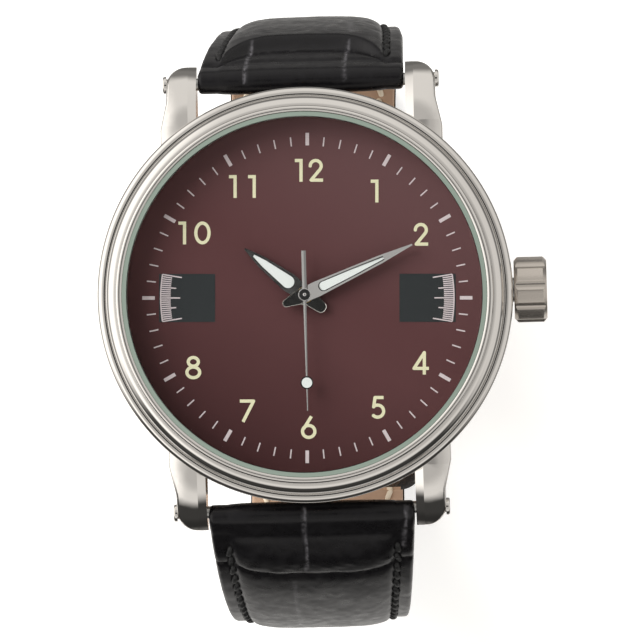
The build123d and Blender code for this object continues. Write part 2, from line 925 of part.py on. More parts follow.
def setting_lever():
    """Lever whose nib sits in the stem's groove."""
    middle_y = (lever_nib_y + lever_pivot_y) / 2
    arm = SlotCenterToCenter(lever_pivot_y - lever_nib_y, lever_width)
    lever = plate(Pos(lever_x, middle_y) * Rot(0, 0, 90) * arm, lever_low, lever_high)
    lever += disc(lever_hub_radius, lever_low, lever_nib_top, lever_x, lever_pivot_y)
    lever -= disc(lever_pin_radius + running_gap, 0, plate_high, lever_x, lever_pivot_y)
    return lever + disc(lever_nib_radius, lever_high - running_gap, lever_nib_top, lever_x, lever_nib_y)


# Hands


def mirrored(points):
    """Closed outline from its right-hand side, from the tail to the tip."""
    return face_of(points + [(-x, y) for x, y in reversed(points)])


def roof(width, edge, ridge, reach):
    """Long prism with a ridge, which gives a hand its two facets."""
    half = width / 2
    section = face_of([(-half, 0), (half, 0), (half, edge), (0, ridge), (-half, edge)])
    return extrude(Plane.XZ * section, reach + overrun, both=True)


def lume_outline(start, belly, end, width, belly_width):
    """Pointed inlay with a round base."""
    half = width / 2
    blade = mirrored([(half, start + half), (belly_width / 2, belly), (lume_tip, end)])
    return blade + Pos(0, start + half) * Circle(half)


def hour_window():
    """Outline of the hour hand's inlay."""
    return lume_outline(
        hour_lume_start, hour_lume_belly, hour_lume_end, hour_lume_width, hour_lume_belly_width
    )


def minute_window():
    """Outline of the minute hand's inlay."""
    return lume_outline(
        minute_lume_start, minute_lume_belly, minute_lume_end, minute_lume_width, minute_lume_belly_width
    )


def pointed_hand(outline, tail_round, hub, hole, width, edge, window):
    """Hand that points at 12 with its base at zero: two facets and a window before the axis, and a flat
    bevelled tail behind it."""
    flat = mirrored(outline)
    flat = fillet(flat.vertices().group_by(Axis.Y)[0], tail_round) + Circle(hub)
    reach = outline[-1][1]
    whole = extrude(flat, hand_ridge)
    tail = whole & block((-reach, reach), (-reach, 0), (-overrun, hand_ridge + overrun))
    rim = [line for line in tail.edges().group_by(Axis.Z)[-1] if (line @ 0.5).Y < -hand_bevel]
    front = whole & block((-reach, reach), (0, reach + overrun), (-overrun, hand_ridge + overrun))
    blade = (front & roof(width, edge, hand_ridge, reach)) + chamfer(rim, hand_bevel)
    blade -= disc(hole, -overrun, hand_ridge + overrun)
    return blade - plate(window, -overrun, hand_ridge + overrun)


def placed(piece, angle, base):
    """A hand's piece, turned clockwise from 12 and lifted to its height."""
    return Pos(0, 0, base) * Rot(0, 0, -angle) * piece


def hour_hand():
    """Hour hand."""
    outline = [
        (hour_tail_width / 2, -hour_tail),
        (hour_tail_root_width / 2, -hour_hub),
        (hour_width / 2, hour_shoulder),
        (hour_belly_width / 2, hour_belly),
        (hour_tip_width / 2, hour_length),
    ]
    blade = pointed_hand(
        outline, hour_tail_round, hour_hub, hour_pipe_radius, hour_width, hour_edge, hour_window()
    )
    return placed(blade, hour_hand_angle, hour_hand_base)


def minute_hand():
    """Minute hand."""
    outline = [
        (minute_tail_width / 2, -minute_tail),
        (minute_tail_root_width / 2, -minute_hub),
        (minute_width / 2, minute_shoulder),
        (minute_belly_width / 2, minute_belly),
        (minute_tip_width / 2, minute_length),
    ]
    blade = pointed_hand(
        outline, minute_tail_round, minute_hub, cannon_radius, minute_width, minute_edge, minute_window()
    )
    return placed(blade, minute_hand_angle, minute_hand_base)


def hour_lume():
    """Luminous inlay of the hour hand."""
    return placed(plate(hour_window(), 0, hour_lume_height), hour_hand_angle, hour_hand_base)


def minute_lume():
    """Luminous inlay of the minute hand."""
    return placed(plate(minute_window(), 0, minute_lume_height), minute_hand_angle, minute_hand_base)


def seconds_hand():
    """Needle with a wide tail and a ring for its dot."""
    needle = mirrored([
        (seconds_tail_width / 2, -seconds_tail),
        (seconds_tail_width / 2, -seconds_hub),
        (seconds_root_width / 2, seconds_hub),
        (seconds_tip_width / 2, seconds_length),
    ])
    hand = extrude(needle, seconds_thickness)
    hand &= roof(seconds_tail_width, seconds_edge, seconds_thickness, seconds_length)
    hand += disc(seconds_hub, 0, seconds_thickness)
    hand += disc(seconds_dot_ring, 0, seconds_thickness, 0, seconds_dot_place)
    hand -= disc(seconds_arbor_radius, -overrun, seconds_thickness + overrun)
    hand -= disc(seconds_dot_radius, -overrun, seconds_thickness + overrun, 0, seconds_dot_place)
    return placed(hand, seconds_hand_angle, seconds_hand_base)


def seconds_lume():
    """Luminous dot of the seconds hand."""
    dot = disc(seconds_dot_radius, 0, seconds_thickness, 0, seconds_dot_place)
    return placed(dot, seconds_hand_angle, seconds_hand_base)


# Lug bars


def lug_bar(side):
    """Bar between two lugs."""
    return rod(bar_radius, -bar_half_length, bar_half_length, side * bar_place, bar_height)


def lug_screws():
    """Slotted screws outside the four lugs."""
    screws = []
    for side in (1, -1):
        y = side * bar_place
        head = rod(lug_screw_head_radius, lug_outer, lug_outer + lug_screw_head, y, bar_height)
        outer_rim = head.edges().filter_by(GeomType.CIRCLE).group_by(Axis.X)[-1]
        head = fillet(outer_rim, lug_screw_head / 2)
        head += rod(bar_radius, bar_half_length, lug_outer, y, bar_height)
        slot = block(
            (lug_outer + lug_screw_head - lug_screw_slot_depth, lug_outer + lug_screw_head + overrun),
            (y - lug_screw_head_radius, y + lug_screw_head_radius),
            (bar_height - lug_screw_slot_width / 2, bar_height + lug_screw_slot_width / 2),
        )
        screw = head - slot
        screws += [screw, mirror(screw, about=Plane.YZ)]
    return Compound(children=screws)


# Strap


class StrapLine:
    """Side view of a strap half: tangent arcs and straight runs, outward from the lug bar."""

    def __init__(self, side, drop, runs):
        self.side = side
        self.pieces = []
        place, u, z, heading = 0, bar_place, bar_height, drop
        for radius, turn, straight in runs:
            length = straight if straight else radius * radians(turn)
            self.pieces.append((place, length, u, z, heading, radius, turn))
            u, z, heading = self.moved(self.pieces[-1], length)
            place += length
        self.length = place

    @staticmethod
    def moved(piece, travelled):
        """Place and heading after part of one arc or run; a heading of 90 points down."""
        _, length, u, z, heading, radius, turn = piece
        if not radius:
            way = radians(heading)
            return u + travelled * cos(way), z - travelled * sin(way), heading
        end = heading + turn * travelled / length
        u += radius * (sin(radians(end)) - sin(radians(heading)))
        z += radius * (cos(radians(end)) - cos(radians(heading)))
        return u, z, end

    def plane(self, place):
        """Plane across the strap: its first axis is the width, its second points outward."""
        piece = [each for each in self.pieces if each[0] <= place][-1]
        u, z, heading = self.moved(piece, place - piece[0])
        way = radians(heading)
        return Plane(
            origin=(0, self.side * u, z),
            x_dir=(-self.side, 0, 0),
            z_dir=(0, self.side * cos(way), -sin(way)),
        )

    def stations(self, extra):
        """Places of the sections: along each arc in small turns, and the extra places."""
        places = {self.length, *extra}
        for place, length, _, _, _, radius, turn in self.pieces:
            steps = ceil(turn / facet_turn) if radius else 1
            places |= {place + length * step / steps for step in range(steps)}
        kept = []
        for place in sorted(places):
            if not kept or place - kept[-1] > leather_thickness / 2:
                kept.append(place)
        kept[-1] = self.length
        return kept


def between(table, place):
    """Value at a place, in a table of places and values with straight lines between them."""
    for (start, low), (end, high) in zip(table, table[1:]):
        if place <= end:
            return low + (high - low) * (place - start) / (end - start)
    return table[-1][1]


def long_width(place):
    """Width of the long half, which narrows to a round tip."""
    past_start = max(0, place - tip_start) / strap_tip_length
    return between(long_widths, place) - (strap_buckle_width - strap_tip_width) * past_start ** 2


def leather_section(width, pad):
    """Section of the upper leather: flat margins and a crowned pad between them."""
    half = width / 2
    shoulder = half - strap_margin
    crown = ThreePointArc(
        (shoulder, leather_thickness), (0, leather_thickness + pad), (-shoulder, leather_thickness)
    )
    rest = Polyline(
        (-shoulder, leather_thickness),
        (-half, leather_thickness),
        (-half, 0),
        (half, 0),
        (half, leather_thickness),
        (shoulder, leather_thickness),
    )
    return make_face(crown + rest)


def lining_section(width):
    """Section of the lining, a little narrower than the leather."""
    return Pos(0, -lining_thickness / 2) * Rectangle(width - 2 * lining_inset, lining_thickness)


def roll(radius, width):
    """Leather rolled round a bar, at a plane's origin."""
    return Rot(0, 90, 0) * Cylinder(radius, width)


short_line = StrapLine(1, short_drop, [
    (short_arc_1, 90 - short_drop, 0),
    (short_arc_2, 90, 0),
    (0, 0, short_run),
])
long_line = StrapLine(-1, long_drop, [
    (long_arc_1, 90 - long_drop, 0),
    (long_arc_2, long_arc_2_turn, 0),
    (long_arc_3, 90 - long_arc_2_turn, 0),
    (0, 0, long_run),
    (long_arc_4, long_arc_4_turn, 0),
])
short_apex = short_line.pieces[1][0]
long_apex = long_line.pieces[1][0]
short_widths = [(0, strap_bar_width), (short_apex, strap_apex_width), (short_line.length, strap_buckle_width)]
long_narrow = long_apex + long_line.pieces[1][1]
tip_start = long_line.length - strap_tip_length
long_widths = [(0, strap_bar_width), (long_apex, strap_apex_width), (long_narrow, strap_buckle_width)]
short_pads = [
    (0, pad_start),
    (pad_rise, pad_start),
    (pad_full_place, pad_height_12),
    (short_apex, pad_height_12),
    (short_pad_fade, pad_end),
]
long_pads = [
    (0, pad_start),
    (pad_rise, pad_start),
    (pad_full_place, pad_height_6),
    (long_apex, pad_height_6),
    (long_pad_fade, pad_end),
]
short_extra = {pad_rise, pad_full_place, short_pad_fade}
tip_places = {tip_start + strap_tip_length * step / tip_steps for step in range(tip_steps)}
long_extra = {pad_rise, pad_full_place, long_pad_fade} | tip_places


def swept(line, extra, section):
    """Solid through sections along a strap half."""
    faces = [(line.plane(place) * section(place)).face() for place in line.stations(extra)]
    return loft(faces, ruled=True)


def bar_hole(line):
    """Cutter for the lug bar."""
    return line.plane(0) * roll(bar_radius + running_gap, lug_gap)


def buckle_plane():
    """Plane across the short half at the buckle bar."""
    return short_line.plane(short_line.length)


def tongue_slot():
    """Cutter for the tongue in the short half's end."""
    half = tongue_half + tongue_slot_gap
    reach = leather_thickness + overrun
    slot = block((-half, half), (-reach, reach), (-tongue_slot_length, reach))
    return buckle_plane() * slot


def hole_cutters():
    """Cutters for the holes along the long half."""
    cutters = []
    reach = leather_thickness + lining_thickness + overrun
    for number in range(holes):
        place = long_line.length - hole_from_tip - number * hole_pitch + hole_pitch
        cutters.append(long_line.plane(place) * Rot(90, 0, 0) * Cylinder(hole_radius, 2 * reach))
    return cutters


def strap_12_leather():
    """Upper leather of the short half, rolled round the lug bar and the buckle bar."""
    strap = swept(
        short_line, short_extra,
        lambda place: leather_section(between(short_widths, place), between(short_pads, place)),
    )
    strap += short_line.plane(0) * roll(leather_thickness, strap_bar_width)
    strap += buckle_plane() * roll(leather_thickness, strap_buckle_width)
    strap -= bar_hole(short_line)
    strap -= buckle_plane() * roll(buckle_bar_radius, 2 * strap_buckle_width)
    return strap - tongue_slot()


def strap_12_lining():
    """Lining of the short half."""
    strap = swept(short_line, short_extra, lambda place: lining_section(between(short_widths, place)))
    strap -= short_line.plane(0) * roll(leather_thickness, 2 * strap_bar_width)
    strap -= buckle_plane() * roll(leather_thickness, 2 * strap_bar_width)
    return strap - tongue_slot()


def strap_6_leather():
    """Upper leather of the long half, with its holes."""
    strap = swept(
        long_line, long_extra,
        lambda place: leather_section(long_width(place), between(long_pads, place)),
    )
    strap += long_line.plane(0) * roll(leather_thickness, strap_bar_width)
    strap -= bar_hole(long_line)
    for cutter in hole_cutters():
        strap -= cutter
    return strap


def strap_6_lining():
    """Lining of the long half, with its holes."""
    strap = swept(long_line, long_extra, lambda place: lining_section(long_width(place)))
    strap -= long_line.plane(0) * roll(leather_thickness, 2 * strap_bar_width)
    for cutter in hole_cutters():
        strap -= cutter
    return strap


# Keepers and buckle


def keeper(place, gap):
    """Loop round the short half, with room for the long half's end."""
    middle = short_line.length - place
    inner_width = between(short_widths, middle - keeper_width / 2) + 2 * keeper_side_gap
    low = -lining_thickness - gap
    high = leather_thickness + keeper_room
    inside = RectangleRounded(inner_width, high - low, keeper_round)
    outside = RectangleRounded(
        inner_width + 2 * keeper_wall, high - low + 2 * keeper_wall, keeper_round + keeper_wall
    )
    band = extrude(Pos(0, (low + high) / 2) * (outside - inside), keeper_width / 2, both=True)
    return short_line.plane(middle) * band


def buckle_frame():
    """U-shaped frame, hinged on the buckle bar."""
    half = buckle_inside / 2
    outer = half + buckle_rail
    front = buckle_length + buckle_front
    outline = face_of([(-outer, 0), (-outer, front), (outer, front), (outer, 0)])
    outline = fillet(outline.vertices().group_by(Axis.Y)[-1], buckle_round)
    outline -= Pos(0, -overrun) * Rectangle(
        buckle_inside, buckle_length + overrun, align=(Align.CENTER, Align.MIN)
    )
    frame = extrude(outline, buckle_thickness / 2, both=True)
    frame = chamfer(frame.edges().filter_by(Plane.XY), buckle_edge)
    frame = Rot(90, 0, 0) * frame
    for low, high in ((-outer, -half), (half, outer)):
        frame += rod(buckle_ear, low, high, 0, 0)
    frame -= rod(buckle_bar_radius + running_gap, -outer - overrun, outer + overrun, 0, 0)
    return buckle_plane() * frame


def buckle_tongue():
    """Tongue, hinged on the same bar and resting on the frame's front."""
    rest = buckle_thickness / 2 + tongue_gap
    tip = buckle_length + buckle_front + tongue_reach
    bend = buckle_length - tongue_thickness
    ring_top = tongue_ring - tongue_thickness
    side_view = face_of([
        (0, tongue_ring),
        (bend, rest + tongue_thickness),
        (tip, rest + tongue_thickness),
        (tip, rest),
        (bend, rest),
        (0, ring_top),
    ])
    side_view += Circle(tongue_ring)
    side_view -= Circle(buckle_bar_radius + running_gap)
    tongue = extrude(side_view, tongue_half, both=True)
    return buckle_plane() * Rot(0, -90, 0) * tongue


def buckle_bar():
    """Bar in the end of the short half."""
    return buckle_plane() * roll(buckle_bar_radius, 2 * buckle_bar_half)


pieces = {
    "mid_case": mid_case(),
    "case_back": case_back(),
    "case_back_gasket": ring(
        bore_radius + back_gasket_width, bore_radius, case_bottom, case_bottom + back_gasket_height
    ),
    "bezel": bezel(),
    "crystal": crystal(),
    "crystal_gasket": ring(
        glass_well_radius, crystal_radius, crystal_underside, bezel_top - crystal_gasket_drop
    ),
    "rehaut_ring": rehaut_ring(),
    "dial": dial(),
    "movement_holder": movement_holder(),
    "main_plate": main_plate(),
    "train_bridge": train_bridge(),
    "bridge_screws": bridge_screws(),
    "battery": battery(),
    "battery_clamp": battery_clamp(),
    "circuit_board": circuit_board(),
    "timing_chip": chip(),
    "quartz_can": quartz_can(),
    "coil": coil(),
    "coil_core": coil_core(),
    "stator": stator(),
    "rotor": rotor(),
    "fifth_wheel": fifth_wheel(),
    "seconds_wheel": seconds_wheel(),
    "third_wheel": third_wheel(),
    "centre_wheel": centre_wheel(),
    "minute_wheel": minute_wheel(),
    "hour_wheel": hour_wheel(),
    "hour_hand": hour_hand(),
    "hour_lume": hour_lume(),
    "minute_hand": minute_hand(),
    "minute_lume": minute_lume(),
    "seconds_hand": seconds_hand(),
    "seconds_lume": seconds_lume(),
    "crown": crown(),
    "crown_gasket": crown_gasket(),
    "crown_tube": crown_tube(),
    "stem": stem(),
    "clutch_pinion": clutch_pinion(),
    "setting_lever": setting_lever(),
    "lug_bar_12": lug_bar(1),
    "lug_bar_6": lug_bar(-1),
    "lug_screws": lug_screws(),
    "strap_12_leather": strap_12_leather(),
    "strap_12_lining": strap_12_lining(),
    "strap_6_leather": strap_6_leather(),
    "strap_6_lining": strap_6_lining(),
    "fixed_keeper": keeper(fixed_keeper_place, 0),
    "sliding_keeper": keeper(sliding_keeper_place, sliding_keeper_gap),
    "buckle_frame": buckle_frame(),
    "buckle_tongue": buckle_tongue(),
    "buckle_bar": buckle_bar(),
}

os.makedirs("parts", exist_ok=True)
for name, piece in pieces.items():
    export_step(piece, f"parts/{name}.step")
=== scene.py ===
import json
import random
from math import atan2, cos, exp, pi, radians, sin, sqrt

import bmesh
import bpy
from mathutils import Matrix, Vector, noise
from mathutils.geometry import delaunay_2d_cdt


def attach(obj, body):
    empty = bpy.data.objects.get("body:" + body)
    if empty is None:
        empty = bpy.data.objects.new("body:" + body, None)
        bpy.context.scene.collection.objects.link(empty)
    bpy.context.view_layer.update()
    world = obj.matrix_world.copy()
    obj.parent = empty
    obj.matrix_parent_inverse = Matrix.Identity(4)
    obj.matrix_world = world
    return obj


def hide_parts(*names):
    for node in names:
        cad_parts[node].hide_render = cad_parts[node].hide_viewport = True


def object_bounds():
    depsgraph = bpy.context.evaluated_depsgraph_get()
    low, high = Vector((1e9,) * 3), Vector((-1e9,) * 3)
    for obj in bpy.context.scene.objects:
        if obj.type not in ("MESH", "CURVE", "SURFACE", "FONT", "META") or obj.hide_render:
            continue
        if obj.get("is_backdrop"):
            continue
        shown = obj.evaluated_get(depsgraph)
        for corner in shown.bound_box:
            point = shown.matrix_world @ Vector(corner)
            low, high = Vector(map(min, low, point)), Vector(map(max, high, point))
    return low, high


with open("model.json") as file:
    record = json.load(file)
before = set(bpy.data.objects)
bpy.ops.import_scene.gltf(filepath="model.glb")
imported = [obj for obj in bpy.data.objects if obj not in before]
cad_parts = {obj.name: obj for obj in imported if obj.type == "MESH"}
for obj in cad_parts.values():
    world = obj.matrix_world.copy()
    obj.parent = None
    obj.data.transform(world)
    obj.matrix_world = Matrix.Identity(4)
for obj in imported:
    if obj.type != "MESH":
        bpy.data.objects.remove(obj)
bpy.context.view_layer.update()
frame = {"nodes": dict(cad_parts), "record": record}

# Looks of the pilot's watch, in the frame of its CAD model: the dial faces +Z, 12 o'clock is +Y, the
# crown is +X, and the origin is on the hands' axis in the outer face of the case back. Sizes of pieces
# are in mm, and outward_mesh() turns them into metres; the camera, lights and textures are in metres.

mm = 0.001

# View of the photograph: tilt of the camera, its roll, its distance and what it aims at
camera_right_tilt = radians(1.72)
camera_down_tilt = radians(1.0)
camera_roll = radians(1.5)
camera_distance = 0.65
view_width = 0.0619
bezel_middle = Vector((0, 0, 0.0066))
aim_right = 0.001635
aim_down = 0.002615
sensor_width = 36.0

# Light of the room: levels of what mirrors show, the dark round overhead, the lamp, and the floor
room_level = 0.95
left_gain = 0.75
right_loss = 0.1
high_level = 0.66
dark_level = 0.03
round_turn = radians(9.0)
round_fade = radians(1.2)
lamp_place = Vector((-0.45, 0.3, 0.5))
lamp_size = 0.5
lamp_power = 5.0
floor_half = 2.0
floor_glow = 0.45

# Strap: the sizes of the CAD model
bar_place = 20.7
bar_height = 2.6
bar_hole = 0.62
buckle_hole = 0.65
leather = 1.15
lining = 1.0
lining_inset = 0.15
margin = 1.9
bar_width = 19.9
apex_width = 17.2
buckle_width = 16.0
tip_width = 6.0
tip_length = 8.0
pad_ends = 0.15
pad_12 = 1.2
pad_6 = 0.85
pad_fade_12 = 50.0
pad_fade_6 = 66.0
slot_half = 1.45
slot_length = 2.6
hole_count = 7
hole_radius = 0.85
hole_pitch = 6.5
hole_from_tip = 14.5
keeper_width = 3.6
keeper_wall = 1.0
keeper_room = 2.3
keeper_gap = 0.25
keeper_round = 0.35
keeper_edge = 0.3
fixed_keeper_place = 5.2
sliding_keeper_place = 10.4
sliding_gap = 0.12

# Strap: where the detail of the face starts, the grooves between the scales with the painted highlight
# in them, and the grain
detail_start = -1.6
bar_groove_depth = 0.1
row_depth = 0.22
row_width = 0.25
row_slope_depth = 0.09
row_slope_width = 0.7
along_depth = 0.13
along_width = 0.2
groove_wander = 0.22
# Crease depth at which the painted highlight in a crease is full
highlight_full_depth = 0.14
fine_grain = 0.02
soft_grain = 0.03
wrinkle_depth = 0.09

# Strap: edges, stitches and the fineness of its meshes
edge_round = 0.45
lining_round = 0.3
stitch_out = 0.32
stitch_dip = 0.14
stitch_pitch = 1.7
stitch_length = 1.55
stitch_radius = 0.3
stitch_slant = 0.16
stitch_start = 3.0
stitch_end_gap = 6.0
cut_reach = 4.0
strap_step = 0.25
across_steps = 44
sharp_angle = radians(45)
face_shares = sorted({at / across_steps for at in range(-across_steps, across_steps + 1)}
                     | {-0.988, -0.962, 0.962, 0.988})
wrap_turn = radians(186)

# Hub: the height of its foot, its black disc, bright bead and domed pin, and the bore round the arbor
hub_top = 7.66
hub_disc = 0.52
hub_disc_thickness = 0.03
bead_radius = 0.045
hub_bore = 0.16
pin_dome_radius = 0.14
pin_dome_foot = 0.12
pin_dome_height = 0.1
pin_eye = 0.05
pin_eye_height = 0.13

# Bezel: the sizes of the CAD model, and the number of sides of its ring here
case_radius = 20.0
case_top = 6.4
bezel_seat = 5.9
bezel_seat_radius = 18.3
bezel_well = 17.5
bezel_step_1 = 19.15
bezel_step_2 = 18.1
bezel_ring_1 = 7.35
bezel_ring_2 = 8.4
bezel_top = 9.2
bezel_groove = 0.28
bezel_bulge = 0.16
bezel_foot = 0.2
bezel_shoulder = 0.35
bezel_sides = 288

# Hands: their heights and turns; each front's width, edge and ridge; each inlay's start, end, end's half
# width, belly's place and half width, and tip's half width; and the dark joints round the inlays
hour_base = 6.5
minute_base = 7.02
hour_angle = radians(308.9)
minute_angle = radians(66.5)
hour_front = (1.8, 0.25, 0.3)
minute_front = (1.5, 0.12, 0.3)
hour_inlay = (1.4, 6.25, 0.65, 5.0, 0.38, 0.15)
minute_inlay = (1.52, 8.35, 0.46, 5.0, 0.35, 0.15)
joint_half = 0.045
joint_rise = 0.02

# Dial: its face, and the print, whose middle and turn follow the photograph
dial_face = 6.0
print_right = 0.19
print_down = 0.29
print_turn = radians(-1.5)
print_thickness = 0.02
bar_inner = 14.68
bar_outer = 15.89
bar_print_width = 0.34
tick_inner = 14.66
tick_outer = 15.53
tick_width = 0.125
numeral_height = 2.2
numeral_stroke = 0.31
panel_inner = 8.87
panel_outer = 14.28
panel_half = 2.32
scale_radius = 14.12
scale_half_turn = radians(9.24)
scale_marks = 11
scale_short = 0.96
scale_medium = 1.46
scale_long = 1.88
scale_line = 0.115


# Materials


def srgb(text):
    """Linear colour of a hexadecimal sRGB colour."""
    parts = [int(text[at:at + 2], 16) / 255 for at in (0, 2, 4)]
    linear = [part / 12.92 if part <= 0.04045 else ((part + 0.055) / 1.055) ** 2.4 for part in parts]
    return (*linear, 1.0)


class Nodes:
    """Short calls for the nodes of a tree."""

    def __init__(self, tree, coordinates):
        self.tree = tree
        self.coordinates = self.node("ShaderNodeTexCoord").outputs[coordinates]

    def node(self, kind, **inputs):
        """New node; a value that is a socket is linked and any other is set."""
        made = self.tree.nodes.new(kind)
        for name, value in inputs.items():
            socket = made.inputs[name.replace("_", " ")]
            if isinstance(value, bpy.types.NodeSocket):
                self.tree.links.new(value, socket)
            else:
                socket.default_value = value
        return made

    def ramp(self, value, low, high, start=0.0, end=1.0, kind="LINEAR"):
        """A value carried from one range to another, and held at its ends."""
        made = self.node("ShaderNodeMapRange", Value=value)
        made.interpolation_type = kind
        for name, number in (("From Min", start), ("From Max", end), ("To Min", low), ("To Max", high)):
            made.inputs[name].default_value = number
        return made.outputs["Result"]

    def maths(self, operation, first, second):
        """Result of arithmetic on two values, each a socket or a number."""
        made = self.tree.nodes.new("ShaderNodeMath")
        made.operation = operation
        for socket, value in zip(made.inputs, (first, second)):
            if isinstance(value, bpy.types.NodeSocket):
                self.tree.links.new(value, socket)
            else:
                socket.default_value = value
        return made.outputs["Value"]

    def blend(self, share, first, second):
        """Mix of two colours, each a hexadecimal text or a socket."""
        made = self.tree.nodes.new("ShaderNodeMix")
        made.data_type = "RGBA"
        self.tree.links.new(share, made.inputs["Factor"])
        for socket, value in ((made.inputs[6], first), (made.inputs[7], second)):
            if isinstance(value, str):
                socket.default_value = srgb(value)
            else:
                self.tree.links.new(value, socket)
        return made.outputs[2]


class Finish(Nodes):
    """A material on the Principled shader, with short calls for the textures that feed it."""

    def __init__(self, name, colour, metallic=0.0, roughness=0.5, **sockets):
        self.material = bpy.data.materials.new(name)
        self.material.use_nodes = True
        super().__init__(self.material.node_tree, "Object")
        self.shader = self.tree.nodes["Principled BSDF"]
        self.shader.inputs["Base Color"].default_value = srgb(colour)
        self.shader.inputs["Metallic"].default_value = metallic
        self.shader.inputs["Roughness"].default_value = roughness
        for socket, value in sockets.items():
            self.shader.inputs[socket.replace("_", " ")].default_value = value

    def stretched(self, x, y, z):
        """Object coordinates times a factor on each axis."""
        return self.node("ShaderNodeMapping", Vector=self.coordinates, Scale=(x, y, z)).outputs["Vector"]

    def noise(self, size, at=None):
        """Noise whose features are about a size across."""
        made = self.node("ShaderNodeTexNoise", Vector=at or self.coordinates, Scale=1 / size,
                         Detail=3.0, Roughness=0.5)
        return made.outputs["Fac"]

    def cells(self, size):
        """Distances in a pattern of cells about a size across."""
        made = self.node("ShaderNodeTexVoronoi", Vector=self.coordinates, Scale=1 / size)
        return made.outputs["Distance"]

    def bump(self, height, depth, strength):
        """Bump of a depth in metres."""
        made = self.node("ShaderNodeBump", Height=height, Distance=depth, Strength=strength)
        return made.outputs["Normal"]

    def feed(self, **outputs):
        """Links sockets to the shader's inputs."""
        for name, socket in outputs.items():
            self.tree.links.new(socket, self.shader.inputs[name.replace("_", " ")])
        return self.material


def polished(name, colour, roughness, scratch=1.0e-6):
    """Polished metal with faint wiping marks and a little uneven gloss."""
    finish = Finish(name, colour, metallic=1.0, roughness=roughness)
    gloss = finish.ramp(finish.noise(0.0015), roughness * 0.6, roughness * 1.5)
    marks = finish.noise(0.00006, at=finish.stretched(1.0, 0.15, 1.0))
    return finish.feed(Roughness=gloss, Normal=finish.bump(marks, scratch, 0.3))


def satin(name, colour, roughness):
    """Blasted steel, which scatters part of the light."""
    finish = Finish(name, colour, metallic=0.85, roughness=roughness)
    grain = finish.noise(0.00008)
    return finish.feed(Roughness=finish.ramp(grain, roughness * 0.8, roughness * 1.2),
                       Normal=finish.bump(grain, 1.0e-6, 0.4))


def brushed(name, colour, roughness):
    """Turned or brushed metal for the parts inside."""
    finish = Finish(name, colour, metallic=1.0, roughness=roughness)
    grain = finish.noise(0.00012, at=finish.stretched(1.0, 0.08, 1.0))
    gloss = finish.ramp(grain, roughness * 0.7, roughness * 1.3)
    return finish.feed(Roughness=gloss, Normal=finish.bump(grain, 4.0e-6, 0.5))


def moulded(name, colour, roughness, depth=6.0e-6, size=0.00015):
    """Moulded plastic, rubber or board with a fine grain."""
    finish = Finish(name, colour, roughness=roughness)
    grain = finish.noise(size)
    return finish.feed(Roughness=finish.ramp(grain, roughness * 0.85, min(1.0, roughness * 1.15)),
                       Normal=finish.bump(grain, depth, 0.5))


def crystal_material():
    """Clear mineral glass with coated faces."""
    finish = Finish("crystal_glass", "1C2422", roughness=0.02, Alpha=0.05, IOR=1.5)
    return finish.feed(Normal=finish.bump(finish.noise(0.004), 1.0e-6, 0.2))


def dial_material():
    """Maroon lacquer with a fine grain, and a painted reflection of haze in the crystal: paler to the
    upper right and darker to the lower left.
    """
    finish = Finish("dial_lacquer", "4B2A2C", roughness=0.42, Specular_IOR_Level=0.12)
    painted_reflection_axis = finish.node("ShaderNodeVectorMath", Vector=finish.coordinates)
    painted_reflection_axis.operation = "DOT_PRODUCT"
    painted_reflection_axis.inputs[1].default_value = (0.5, 0.85, 0.0)
    # Painted reflection and shade: the colour runs from darker at the lower left to paler at the upper
    # right, standing in for haze reflected in the crystal.
    dark = finish.ramp(painted_reflection_axis.outputs["Value"], 0.0, 1.0, -0.016, -0.003)
    pale = finish.ramp(painted_reflection_axis.outputs["Value"], 0.0, 1.0, 0.002, 0.014)
    colour = finish.blend(pale, finish.blend(dark, "402526", "573839"), "624647")
    return finish.feed(Base_Color=colour, Roughness=finish.ramp(finish.noise(0.00008), 0.4, 0.48))


def print_material(name, colour):
    """Printed ink, with slightly uneven cover."""
    finish = Finish(name, colour, roughness=0.5)
    worn = finish.ramp(finish.noise(0.0003), 0.0, 0.12, 0.4, 0.8)
    return finish.feed(Base_Color=finish.blend(worn, colour, "8A7F78"))


def leather_material(name, colour, worn, highlight_colour, roughness):
    """Glazed leather: fine pores, soft gloss changes, and grooves made paler by a painted highlight."""
    finish = Finish(name, colour, roughness=roughness, Specular_IOR_Level=0.26)
    pores = finish.cells(0.00028)
    soft = finish.noise(0.0011)
    gloss = finish.ramp(soft, roughness * 0.8, roughness * 1.3, 0.3, 0.7)
    height = finish.maths("ADD", finish.maths("MULTIPLY", pores, 0.5), soft)
    marks = finish.node("ShaderNodeAttribute")
    marks.attribute_name = "groove"
    # Painted highlight: points marked in the groove attribute take the highlight colour, in patches,
    # standing in for light caught by the grooves' edges.
    patchy_highlight = finish.ramp(finish.noise(0.0005), 0.1, 1.0, 0.35, 0.65)
    pale = finish.maths("MULTIPLY", marks.outputs["Fac"], patchy_highlight)
    plain = finish.blend(finish.ramp(soft, 0.0, 0.5, 0.45, 0.8), colour, worn)
    return finish.feed(Base_Color=finish.blend(pale, plain, highlight_colour), Roughness=gloss,
                       Normal=finish.bump(height, 9.0e-6, 0.6))


def thread_material(name, colour):
    """Twisted waxed thread."""
    finish = Finish(name, colour, roughness=0.55)
    twist = finish.noise(0.00012, at=finish.stretched(1.0, 1.0, 0.4))
    return finish.feed(Normal=finish.bump(twist, 4.0e-5, 0.8))


